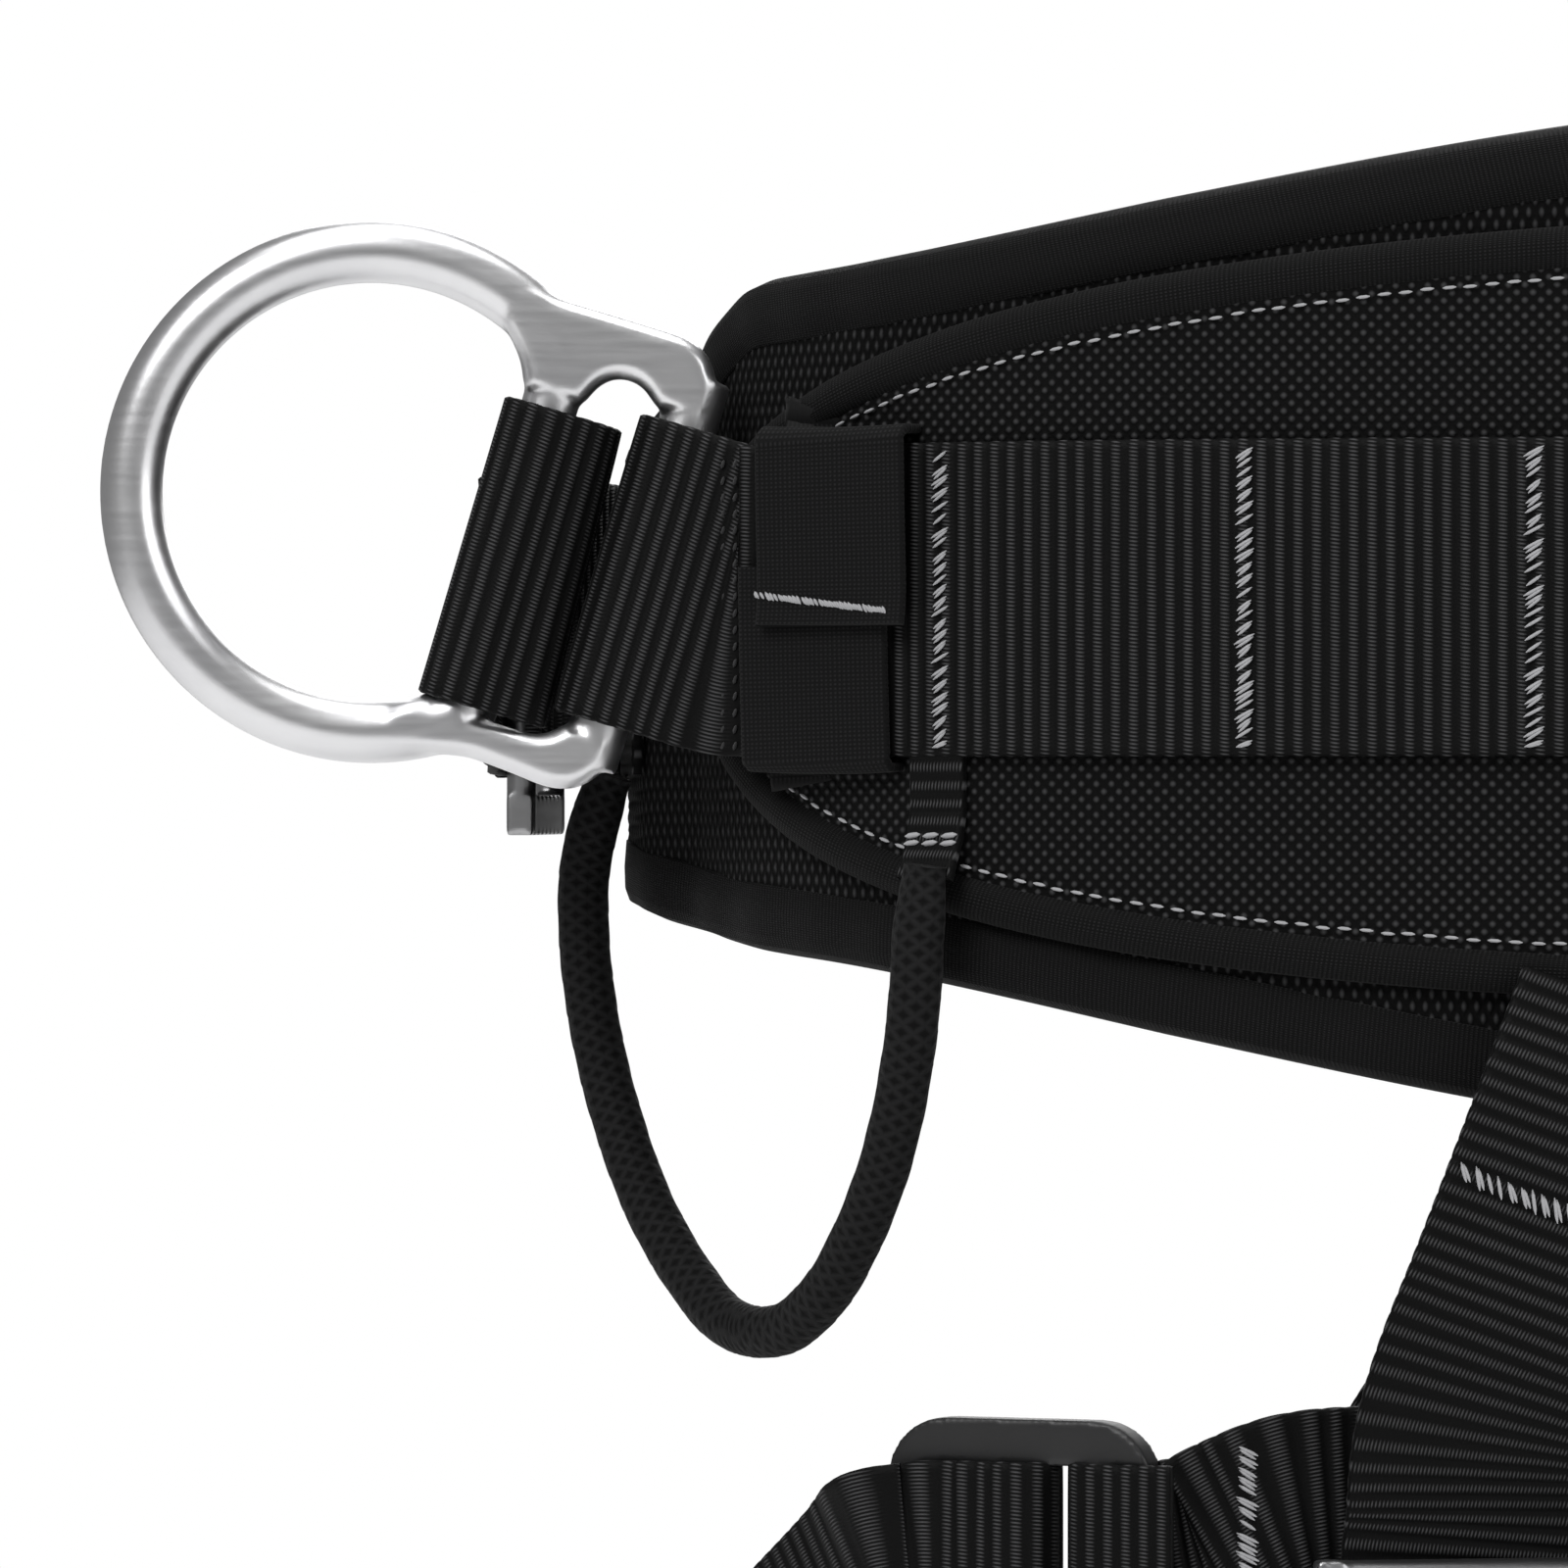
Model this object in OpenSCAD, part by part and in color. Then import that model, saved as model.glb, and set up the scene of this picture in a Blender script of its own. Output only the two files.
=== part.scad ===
// Tree climbing saddle: padded waist belt, two side D-rings, gear loops and two leg loops.
// Frame: origin at the centre of the waist at the height of the belt webbing, +Z up,
// the wearer faces -Y and the wearer's left is +X.

/* [Waist] */
// Width of the belt and leg webbing
webbing_w = 45; // [43:0.5:46]
// Thickness of all webbing
webbing_t = 2; // [1.6:0.1:2.2]
// Radius of the belt across the back
back_r = 420; // [400:5:450]
// Radius of the belt round each hip
hip_r = 104; // [102:1:108]
// How far the belt lies behind the origin at the middle of the back
back_y = 122; // [121:0.5:123]

/* [Waist pad] */
// Length of the waist pad from the middle of the back to each front end
pad_half_len = 300; // [290:1:305]
// Height of the pad above the belt centre at the middle of the back
pad_top = 71; // [69:1:74]
// Depth of the pad below the belt centre at the middle of the back
pad_bottom = 78; // [75:1:80]
// Thickness of the waist pad foam
foam_t = 10; // [8:0.5:11]
// Half length of the raised lumbar panel
panel_half_len = 210; // [200:1:212]
// Half height of the raised lumbar panel
panel_half_h = 55; // [52:1:57]

/* [D-rings] */
// Radius of the centreline of the ring
ring_r = 35; // [34:0.5:36]
// Radius of the ring's round section
ring_rod_r = 4.6; // [4.4:0.1:4.8]
// Distance from the base bar to the middle of the ring
ring_reach = 41.5; // [41:0.5:42]
// Distance from the base bar to the cross bar
bar_gap = 20.15; // [20:0.05:20.5]
// Upward tilt of each D-ring
ring_tilt = 16.5; // [14:0.5:18]

/* [Gear loops] */
// Diameter of the gear loop cord
cord_d = 7.5; // [7:0.1:8]

/* [Leg loops] */
// Half width of a leg loop from side to side
leg_rx = 92; // [88:1:93]
// Half depth of a leg loop from front to back
leg_ry = 107; // [104:1:110]
// Height of the middle of the leg webbing, below the belt
leg_drop = 143; // [140:1:146]
// Height of a leg pad
leg_pad_h = 84; // [76:1:88]

/* [Hidden] */
eps = 0.01;

// ---- The waist curve: a back arc, a hip arc and a front arc, tangent to each other ----
back_a = 16;
front_a = 150;
c_back = [0, back_y - back_r];
c_hip = c_back + (back_r - hip_r) * [sin(back_a), cos(back_a)];
front_r = hip_r + c_hip.x / sin(front_a);
c_front = c_hip + (hip_r - front_r) * [sin(front_a), cos(front_a)];
len_back = back_r * back_a * PI / 180;
len_hip = len_back + hip_r * (front_a - back_a) * PI / 180;
len_half = len_hip + front_r * (180 - front_a) * PI / 180;

// Heading of the curve at arc length s from the middle of the back, in degrees
function heading(s) =
    s < len_back ? s / back_r * 180 / PI
    : s < len_hip ? back_a + (s - len_back) / hip_r * 180 / PI
    : front_a + (s - len_hip) / front_r * 180 / PI;

// Point at signed arc length s (left is positive), offset n outward from the belt's outer face
function half_point(s, n) =
    let (a = heading(s), d = [sin(a), cos(a)])
    s < len_back ? c_back + (back_r + n) * d
    : s < len_hip ? c_hip + (hip_r + n) * d
    : c_front + (front_r + n) * d;
function waist(s, n) = let (p = half_point(abs(s), n)) [s < 0 ? -p.x : p.x, p.y];
function waist3(s, n, z) = let (p = waist(s, n)) [p.x, p.y, z];

// ---- Outline of the waist pad and the lumbar panel in arc length and height ----
function ease(u) = let (v = min(1, max(0, u))) v * v * (3 - 2 * v);
function swell(s) = 0.5 + 0.5 * cos(180 * min(1, abs(s) / 210));
hip_top = 47.5;
hip_bottom = 51;
hip_slope = 22;
hip_rise = 6;
function pad_z_top(s) =
    hip_top + (pad_top - hip_top) * swell(s) - hip_slope * ease((abs(s) - 188) / 46);
function pad_z_bottom(s) =
    -hip_bottom - (pad_bottom - hip_bottom) * swell(s) + hip_rise * ease((abs(s) - 190) / 60);
end_len = 34;
// The panel's lower edge is fuller than its upper edge
function panel_edge(s, h, power) =
    h * pow(max(0, 1 - pow(abs(s) / panel_half_len, power)), 1 / power);
function panel_top(s) = panel_edge(s, panel_half_h - 1, 2.1);
function panel_low(s) = -panel_edge(s, panel_half_h + 2.5, 2.4);
// The pad stands further out beyond the panel, where the belt has left it
pad_swell = 4.2;
function pad_lift(s) =
    pad_swell * ease((abs(s) - 211) / 20) * (1 - ease((abs(s) - 246) / 40));

// Half of the pad's stations: evenly spaced, then closer together round its end
station_step = 14;
end_angles = [15 : 15 : 75];
function pad_stations(inset) = concat(
    [for (s = [0 : station_step : pad_half_len - end_len]) s],
    [for (a = end_angles) pad_half_len - end_len + (end_len - inset) * sin(a)],
    [pad_half_len - end_len + (end_len - inset) * sin(84)]
);
function end_share(s, inset) =
    let (u = (abs(s) - (pad_half_len - end_len)) / (end_len - inset))
    u <= 0 ? 1 : sqrt(max(0, 1 - u * u));
function pad_span(s, inset) =
    let (top = pad_z_top(s) - inset, bottom = pad_z_bottom(s) + inset,
         mid = (top + bottom) / 2, half = (top - bottom) / 2 * end_share(s, inset))
    [mid - half, mid + half];

function reverse(v) = [for (i = [len(v) - 1 : -1 : 0]) v[i]];
function both_sides(v) = concat([for (s = reverse(v)) if (s > 0) -s], v);
function unit(v) = v / norm(v);

// ---- Solids swept along a path ----
// Skin over rings of points. Each ring runs anticlockwise seen from the path's far end.
// split makes every side two triangles, for a skin that twists
module skin(rings, closed = false, split = false) {
    m = len(rings[0]);
    count = len(rings);
    last = closed ? count : count - 1;
    sides = [
        for (i = [0 : last - 1], j = [0 : m - 1])
            let (k = (i + 1) % count, l = (j + 1) % m,
                 a = i * m + j, b = k * m + j, c = k * m + l, d = i * m + l)
            each split ? [[a, b, c], [a, c, d]] : [[a, b, c, d]]
    ];
    caps = closed ? [] : [
        [for (j = [0 : m - 1]) j],
        [for (j = [m - 1 : -1 : 0]) (count - 1) * m + j]
    ];
    polyhedron([for (r = rings) each r], concat(sides, caps), convexity = 8);
}

function tangent(path, i) = unit(path[min(i + 1, len(path) - 1)] - path[max(i - 1, 0)]);

// Flat webbing along a path; across holds one direction across its width for each point
module webbing(path, across, w = webbing_w, t = webbing_t, split = false) {
    skin([
        for (i = [0 : len(path) - 1])
            let (a = across[i] * w / 2, n = unit(cross(tangent(path, i), across[i])) * t / 2)
            [path[i] + a + n, path[i] - a + n, path[i] - a - n, path[i] + a - n]
    ], split = split);
}
module flat_webbing(path, w = webbing_w, t = webbing_t) {
    webbing(path, [for (p = path) [0, 0, 1]], w, t);
}

// Closed edge tape of U section round an outline of [s, z] points, over a pad from n_in to n_out
module edge_tape(outline, n_in, n_out, w, t, place) {
    count = len(outline);
    section = [
        [0, n_in - t], [w, n_in - t], [w, n_in], [t, n_in],
        [t, n_out], [w, n_out], [w, n_out + t], [0, n_out + t]
    ];
    skin([
        for (i = [0 : count - 1])
            let (d = unit(outline[(i + 1) % count] - outline[(i + count - 1) % count]),
                 inward = [d.y, -d.x])
            [for (q = section) edge_point(outline[i] + q.x * inward, q.y, place)]
    ], closed = true);
}
function edge_point(p, n, place) =
    place == "waist" ? waist3(p.x, n + pad_lift(p.x), p.y) : leg_point(p.x, n, p.y - leg_drop);

// ---- Waist pad, lumbar panel and belt webbing ----
foam_out = -5.2;
foam_in = foam_out - foam_t;
tape_t = 1.2;
tape_w = 10;
tape_gap = 0.2;

module waist_pad() {
    color("#1c1c1e")
    skin([
        for (s = both_sides(pad_stations(1.5)))
            let (z = pad_span(s, 1.5), out = foam_out + pad_lift(s), in = foam_in + pad_lift(s))
            [waist3(s, out, z[0]), waist3(s, out, z[1]), waist3(s, in, z[1]), waist3(s, in, z[0])]
    ]);
}
function pad_outline() =
    let (v = both_sides(pad_stations(0)))
    concat([for (s = v) [s, pad_span(s, 0)[1]]], [for (s = reverse(v)) [s, pad_span(s, 0)[0]]]);
module waist_pad_binding() {
    color("#222224")
    edge_tape(pad_outline(), foam_in - tape_gap, foam_out + tape_gap, tape_w, tape_t, "waist");
}

panel_in = foam_out + tape_gap;
panel_out = -2.2;
function panel_stations(half) = concat(
    [for (s = [0 : station_step : 168]) s],
    [for (a = [60 : 10 : 80]) half * sin(a)],
    [half * sin(86)]
);
module lumbar_panel() {
    half = panel_half_len - 1;
    color("#18181a")
    skin([
        for (s = both_sides(panel_stations(half)))
            let (low = panel_low(s) + 1, top = panel_top(s) - 1)
            [waist3(s, panel_out, low), waist3(s, panel_out, top),
             waist3(s, panel_in, top), waist3(s, panel_in, low)]
    ]);
}
// Tape along the rim of the lumbar panel
rim_w = 5.5;
rim_t = 0.9;
module lumbar_panel_binding() {
    v = both_sides(panel_stations(panel_half_len));
    outline = concat([for (s = v) [s, panel_top(s)]], [for (s = reverse(v)) [s, panel_low(s)]]);
    count = len(outline);
    color("#252527")
    skin([
        for (i = [0 : count - 1])
            let (d = unit(outline[(i + 1) % count] - outline[(i + count - 1) % count]),
                 inner = outline[i] + rim_w * [d.y, -d.x],
                 low = panel_out + 0.05)
            [waist3(outline[i].x, low, outline[i].y), waist3(inner.x, low, inner.y),
             waist3(inner.x, low + rim_t, inner.y),
             waist3(outline[i].x, low + rim_t, outline[i].y)]
    ], closed = true);
}

// The belt leaves the pad on a tangent at exit_a and runs straight to the D-ring's base bar
exit_a = 33;
exit_s = len_back + hip_r * (exit_a - back_a) * PI / 180;
tab_dir = [cos(exit_a), -sin(exit_a), 0];
tab_out = [sin(exit_a), cos(exit_a), 0];
tab_start = waist3(exit_s, 0, 0);
tab_len = 53.4;
bar_z = 4.4;
bar_c = tab_start + tab_len * tab_dir - 2 * tab_out + [0, 0, bar_z];
ring_u = [cos(ring_tilt), 0, sin(ring_tilt)];
ring_v = [-sin(ring_tilt), 0, cos(ring_tilt)];
base_bar_r = 4.6;
cross_bar_r = 4.2;
strap_shift = -3.5;
belt_shift = -0.4;
belt_loop_r = base_bar_r + 0.6 + webbing_t / 2;
seam_at = 37;
tail_at = 24;

// Half of the belt: along the pad, out along the tab, round the base bar and back to the seam.
// It turns from upright to the bar's own tilt as it goes.
function fan(u) = unit((1 - ease(u)) * [0, 0, 1] + ease(u) * ring_v);
belt_back = [for (s = [0 : exit_s / 11 : exit_s + eps]) [waist3(s, -webbing_t / 2, 0), [0, 0, 1]]];
belt_tab = [
    for (x = [12, seam_at]) [tab_start + x * tab_dir - webbing_t / 2 * tab_out, [0, 0, 1]]
];
wrap_c = bar_c + belt_shift * ring_v;
// Directions across the bar: outward of the belt, and along it
wrap_out = unit(cross(ring_v, cross(tab_out, ring_v)));
wrap_along = unit(cross(wrap_out, ring_v));
belt_wrap = [
    for (a = [108 : -27 : -108])
        [wrap_c + belt_loop_r * (sin(a) * wrap_out + cos(a) * wrap_along), ring_v]
];
belt_tail = [
    for (x = [seam_at, tail_at])
        [tab_start + x * tab_dir - (1.5 * webbing_t + 0.4) * tab_out, [0, 0, 1]]
];
// Steps between the upright tab and the tilted wrap, on the way out and on the way back
function between(a, b, u) = [a[0] + u * (b[0] - a[0]), fan(u)];
belt_out = [for (u = [0.25 : 0.25 : 0.75]) between(belt_tab[1], belt_wrap[0], u)];
belt_in = [for (u = [0.75 : -0.25 : 0.25]) between(belt_tail[0], belt_wrap[len(belt_wrap) - 1], u)];
belt_half = concat(belt_back, belt_tab, belt_out, belt_wrap, belt_in, belt_tail);
module waist_webbing() {
    mirrored = [for (i = [len(belt_half) - 1 : -1 : 1]) [for (v = belt_half[i]) [-v.x, v.y, v.z]]];
    both = concat(mirrored, belt_half);
    color("#202022")
    webbing([for (p = both) p[0]], [for (p = both) p[1]], split = true);
}

// Places its children on the straight tab: x along it, y outward, z up
module on_tab(x) {
    translate(tab_start + x * tab_dir) rotate([0, 0, -exit_a]) children();
}

keeper_w = 28;
keeper_t = 1.5;
module left_keeper() {
    inner_h = webbing_w + 1;
    inner_t = 5.4;
    color("#2b2b2d")
    on_tab(20)
    translate([0, -2.1, 0])
    difference() {
        cube([keeper_w, inner_t + 2 * keeper_t, inner_h + 2 * keeper_t], center = true);
        cube([keeper_w + 1, inner_t, inner_h], center = true);
    }
}

// ---- D-ring: round ring, two flat cheeks, a cross bar and a base bar ----
cheek_v0 = 26.7;
cheek_v1 = 34.7;
cheek_t = 8.4;
cheek_corner = 4;
module d_ring_frame() {
    translate(bar_c) rotate([0, -ring_tilt, 0]) children();
}
module cheek() {
    u1 = ring_reach - 14;
    rotate([90, 0, 0])
    linear_extrude(cheek_t, center = true)
    union() {
        translate([-base_bar_r + cheek_corner, cheek_v0]) square([u1 + base_bar_r - cheek_corner, cheek_v1 - cheek_v0]);
        translate([-base_bar_r + cheek_corner, cheek_v1 - cheek_corner]) circle(cheek_corner, $fn = 48);
    }
}
module left_d_ring() {
    sweep_a = 126;
    color("#c9cbcd")
    d_ring_frame()
    union() {
        translate([ring_reach, 0, 0])
        rotate([90, 0, 0])
        rotate([0, 0, -sweep_a])
        rotate_extrude(angle = 2 * sweep_a, $fn = 96)
        translate([ring_r, 0])
        circle(ring_rod_r, $fn = 32);
        cheek();
        mirror([0, 0, 1]) cheek();
        translate([bar_gap, 0, 0]) cylinder(h = 2 * cheek_v0 + 2, r = cross_bar_r, center = true, $fn = 48);
        cylinder(h = 2 * cheek_v0 + 2, r = base_bar_r, center = true, $fn = 48);
    }
}

// Webbing round the cross bar; it runs forward and carries the front strap
cross_c = bar_c + bar_gap * ring_u + strap_shift * ring_v;
cross_loop_r = cross_bar_r + 0.3 + webbing_t / 2;
cross_out = [0, 1, 0];
module left_d_ring_loop() {
    arc = [
        for (a = [-10 : 20 : 190])
            cross_c + cross_loop_r * (sin(a) * cross_out + cos(a) * ring_u)
    ];
    front_end = [
        cross_c - 10 * cross_out + (webbing_t / 2 + 0.1) * ring_u,
        cross_c - 10 * cross_out - (webbing_t / 2 + 0.1) * ring_u
    ];
    path = concat([front_end[0]], arc, [front_end[1]]);
    color("#202022")
    webbing(path, [for (p = path) ring_v]);
}

// ---- Gear loops: a stiff round cord hanging from the pad's lower edge ----
gear_route = [
    [147, 95.2, -38], [147.9, 94.3, -48], [148.5, 92.9, -58], [149.9, 89.4, -69], [152.3, 85, -80],
    [156, 79, -90.5], [161, 71, -100], [167.5, 61, -106], [175, 51, -105.5], [181.5, 42, -98.5],
    [187.3, 35, -88.5], [191.8, 29.5, -76.5], [195, 26.5, -64], [196.8, 25, -51], [196.8, 24.5, -39],
    [194.4, 25.5, -29]
];
function spline(p, i, u) =
    let (a = p[max(i - 1, 0)], b = p[i], c = p[i + 1], d = p[min(i + 2, len(p) - 1)])
    0.5 * (2 * b + (c - a) * u + (2 * a - 5 * b + 4 * c - d) * u * u + (3 * b - a - 3 * c + d) * u * u * u);
function smooth(p, steps) = concat(
    [for (i = [0 : len(p) - 2], k = [0 : steps - 1]) spline(p, i, k / steps)],
    [p[len(p) - 1]]
);
module round_cord(route, d, sides = 8) {
    path = smooth(route, 2);
    skin([
        for (i = [0 : len(path) - 1])
            let (t = tangent(path, i), side = unit(cross(t, [0.3, 0.9, 0.2])), up = cross(t, side))
            [for (a = [0 : 360 / sides : 359]) path[i] + d / 2 * (cos(a) * side + sin(a) * up)]
    ]);
}
module left_gear_loop() {
    color("#1a1a1b") round_cord(gear_route, cord_d);
}
tab_w = 9;
module left_gear_loop_tabs() {
    color("#202022")
    union() {
        flat_webbing([for (s = [146.5 : tab_w / 2 : 146.5 + tab_w]) waist3(s, -0.9, -29.5)], 15, webbing_t);
        flat_webbing([for (s = [228 : tab_w / 2 : 228 + tab_w]) waist3(s, -3.9 + pad_lift(s), -18.5)], 16, webbing_t);
    }
}

// ---- Front straps, their adjusters and the front buckle ----
front_lift = 1.4;
front_z = -4;
buckle_bar_x = 14;
buckle_y = -124.5;
hook_bar_x = 46;
hook_y = -129;
fold_r = 3 + 0.4 + webbing_t / 2;

// Two bar adjuster beside the hip: the lead from the D-ring holds its rear bar, the front
// strap its front bar. Local x runs forward along it, local y outward.
adjuster_h = 62;
adjuster_l = 31;
adjuster_t = 4;
adjuster_bar_r = 2.2;
adjuster_bar = adjuster_l / 2 - adjuster_bar_r;
adjuster_c = [204.2, 20.5, -3];
adjuster_turn = -98;
adjuster_u = [cos(adjuster_turn), sin(adjuster_turn), 0];
adjuster_n = [-adjuster_u.y, adjuster_u.x, 0];
adjuster_loop_r = adjuster_bar_r + 0.5 + webbing_t / 2;
function adjuster_point(x, y) = adjuster_c + x * adjuster_u + y * adjuster_n;
module left_strap_adjuster() {
    rail = 6;
    color("#8f9194")
    translate(adjuster_c)
    rotate([0, 0, adjuster_turn])
    union() {
        for (side = [-1, 1])
            translate([0, 0, side * (adjuster_h - rail) / 2])
            cube([adjuster_l, adjuster_t, rail], center = true);
        for (side = [-1, 1])
            translate([side * adjuster_bar, 0, 0])
            cylinder(h = adjuster_h - 2, r = adjuster_bar_r, center = true, $fn = 32);
        translate([-2, 2.2, 0]) cube([5, 1.6, adjuster_h - 2], center = true);
    }
}
// Strap from the D-ring's loop round the rear bar of the adjuster
module left_strap_lead() {
    path = concat(
        [[207.4, 44.6, 5.6], adjuster_point(-adjuster_bar - 5, adjuster_loop_r - 1) + [0, 0, 2.5]],
        [for (a = [90 : -45 : -90])
            adjuster_point(-adjuster_bar + adjuster_loop_r * cos(a), adjuster_loop_r * sin(a))],
        [adjuster_point(-adjuster_bar - 6, -adjuster_loop_r + 1.1)]
    );
    color("#202022")
    webbing(path, [for (i = [0 : len(path) - 1]) fan(1 - i / 2)]);
}

// A front strap goes from the adjuster's front bar, along the waist as far as last_s, to a
// loop round a bar at x = bar_x, y = bar_y
module front_strap(bar_x, bar_y, last_s) {
    path = concat(
        [adjuster_point(adjuster_bar + 9, adjuster_loop_r)],
        [for (a = [90 : 45 : 270])
            adjuster_point(adjuster_bar + adjuster_loop_r * cos(a), adjuster_loop_r * sin(a))],
        [for (s = [300 : 15 : last_s]) waist3(s, front_lift, front_z)],
        [[bar_x + 16, bar_y + fold_r - 0.3, front_z]],
        [for (a = [90 : 30 : 270]) [bar_x + fold_r * cos(a), bar_y + fold_r * sin(a), front_z]],
        [[bar_x + 12, bar_y - fold_r + 1.6, front_z], [bar_x + 24, bar_y - fold_r + 3.6, front_z]]
    );
    color("#202022") flat_webbing(path);
}
module left_front_strap() { front_strap(buckle_bar_x, buckle_y, 420); }

keeper_s = 372;
module left_front_keeper() {
    p = waist(keeper_s, front_lift);
    inner_t = 4.6;
    inner_h = webbing_w + 1;
    color("#2b2b2d")
    translate([p.x, p.y, front_z])
    rotate([0, 0, -heading(keeper_s)])
    difference() {
        cube([18, inner_t + 2 * keeper_t, inner_h + 2 * keeper_t], center = true);
        cube([19, inner_t, inner_h], center = true);
    }
}

// Plate with rounded corners in the XZ plane, made of squares and circles only
module plate(w, h, t, r) {
    rotate([90, 0, 0])
    linear_extrude(t, center = true)
    union() {
        square([w - 2 * r, h], center = true);
        square([w, h - 2 * r], center = true);
        for (x = [-1, 1], y = [-1, 1])
            translate([x * (w / 2 - r), y * (h / 2 - r)]) circle(r, $fn = 40);
    }
}
buckle_h = 60;
buckle_t = 5;
window_h = 47;
eye_z = -36.6;
eye_w = 88;
eye_bar_r = 2.5;
module front_buckle_frame() {
    rail_x = 2 * buckle_bar_x + 6;
    color("#9a9c9f")
    translate([0, buckle_y, 0])
    union() {
        difference() {
            translate([0, 0, front_z]) plate(rail_x, buckle_h, buckle_t, 6);
            translate([0, 0, front_z]) cube([rail_x - 12, 3 * buckle_t, window_h], center = true);
            translate([buckle_bar_x, 0, front_z]) cube([7, 3 * buckle_t, window_h], center = true);
        }
        translate([buckle_bar_x, 0, front_z]) cylinder(h = window_h + 2, r = 3, center = true, $fn = 40);
        difference() {
            translate([0, 0, eye_z]) plate(eye_w, 11, buckle_t, 4);
            translate([0, 0, eye_z]) cube([eye_w - 8, 3 * buckle_t, 9], center = true);
        }
        translate([0, 0, eye_z - 4.5]) rotate([0, 90, 0])
        cylinder(h = eye_w - 6, r = eye_bar_r, center = true, $fn = 32);
    }
}
module front_buckle_hook() {
    nose_x = -6.5;
    nose_h = 40;
    plate_t = 3.6;
    color("#b4b6b9")
    translate([0, 0, front_z])
    union() {
        translate([-hook_bar_x, hook_y, 0]) cylinder(h = buckle_h - 2, r = 3, center = true, $fn = 40);
        for (side = [-1, 1])
            translate([-hook_bar_x + 9, hook_y, side * (buckle_h - 7) / 2]) cube([18, plate_t, 7], center = true);
        translate([-25, hook_y - 0.3, 0]) plate(14, buckle_h, plate_t, 4);
        translate([(nose_x - 24) / 2, hook_y - 0.3, 0]) cube([-nose_x + 24 - 16, plate_t, nose_h], center = true);
        translate([nose_x - 1.5, hook_y + 2.4, 0]) cube([3, 6, nose_h], center = true);
    }
}

// ---- Ventral loop and ventral ring ----
ventral_top = eye_z - 4.5;
ventral_len = 34;
ventral_bar_r = 4.5;
ventral_w = 18;
module stadium(r, long) {
    union() {
        circle(r, $fn = 48);
        translate([0, -long]) circle(r, $fn = 48);
        translate([-r, -long]) square([2 * r, long]);
    }
}
module ventral_loop() {
    inner = ventral_bar_r + 0.3;
    color("#202022")
    translate([0, buckle_y, ventral_top])
    rotate([90, 0, 90])
    linear_extrude(ventral_w, center = true)
    difference() {
        stadium(inner + webbing_t, ventral_len);
        stadium(inner, ventral_len);
    }
}
ring_w = 38;
ring_h = 44;
ring_corner = 10;
module ventral_ring() {
    half_w = ring_w / 2 - ring_corner;
    half_h = ring_h / 2 - ring_corner;
    color("#c9cbcd")
    translate([0, buckle_y, ventral_top - ventral_len - ring_h / 2])
    union() {
        for (x = [-1, 1], z = [-1, 1])
            translate([x * half_w, 0, z * half_h])
            rotate([90, 0, 0])
            rotate([0, 0, x > 0 ? (z > 0 ? 0 : 270) : (z > 0 ? 90 : 180)])
            rotate_extrude(angle = 90, $fn = 64)
            translate([ring_corner, 0])
            circle(ventral_bar_r, $fn = 32);
        for (z = [-1, 1])
            translate([0, 0, z * ring_h / 2]) rotate([0, 90, 0])
            cylinder(h = 2 * half_w, r = ventral_bar_r, center = true, $fn = 32);
        for (x = [-1, 1])
            translate([x * ring_w / 2, 0, 0])
            cylinder(h = 2 * half_h, r = ventral_bar_r, center = true, $fn = 32);
    }
}

// ---- Risers from the pad's lower edge to the leg loops ----
riser_top = [41, 120.6, -57];
riser_dir = unit([19, 0, -50]);
riser_across = unit([50, 0, 19]);
function riser_point(q, y) = let (p = riser_top + q * riser_dir) [p.x, y, p.z];
module left_riser_anchor() {
    path = [riser_point(9.5, 118.7), riser_point(15, 119.4), riser_point(20, 119.5)];
    color("#202022") webbing(path, [for (p = path) riser_across]);
}

// Three bar adjuster at the foot of the riser, in front of the leg webbing
foot = [65.5, 106.5, -152.5];
foot_turn = 10;
foot_w = 54;
foot_bar_r = 2.4;
foot_gap = 14;
module on_foot() {
    translate(foot) rotate([0, 0, foot_turn]) children();
}
module left_riser_adjuster() {
    rail = 4;
    color("#a5a7aa")
    on_foot()
    union() {
        for (side = [-1, 1])
            translate([side * (foot_w - rail) / 2, 0, 0])
            cube([rail, 4.2, 2 * foot_gap + 2 * foot_bar_r], center = true);
        for (k = [-1, 0, 1])
            translate([0, 0, k * foot_gap]) rotate([0, 90, 0])
            cylinder(h = foot_w - 2, r = foot_bar_r, center = true, $fn = 32);
    }
}
function foot_point(y, z) = foot + [-sin(foot_turn) * y, cos(foot_turn) * y, z];
foot_across = [cos(foot_turn), sin(foot_turn), 0];
foot_loop_r = foot_bar_r + 0.3 + webbing_t / 2;
module left_riser() {
    upper = [riser_point(24.5, 119.5), riser_point(36, 119.2), riser_point(48, 117.6), riser_point(58, 114.6)];
    bend = [[64.2, 110.4, -120], [65.3, foot_point(-foot_loop_r, 0).y + 1.5, -130]];
    lower = concat(
        [foot_point(-foot_loop_r, foot_gap)],
        [for (a = [180 : 45 : 360]) foot_point(foot_loop_r * cos(a), foot_loop_r * sin(a))],
        [foot_point(foot_loop_r + 0.2, 9)]
    );
    n = len(upper);
    path = concat(upper, bend, lower);
    color("#202022")
    webbing(path, [for (i = [0 : len(path) - 1])
        let (u = ease((i - n + 1.5) / 3)) unit((1 - u) * riser_across + u * foot_across)]);
}
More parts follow.
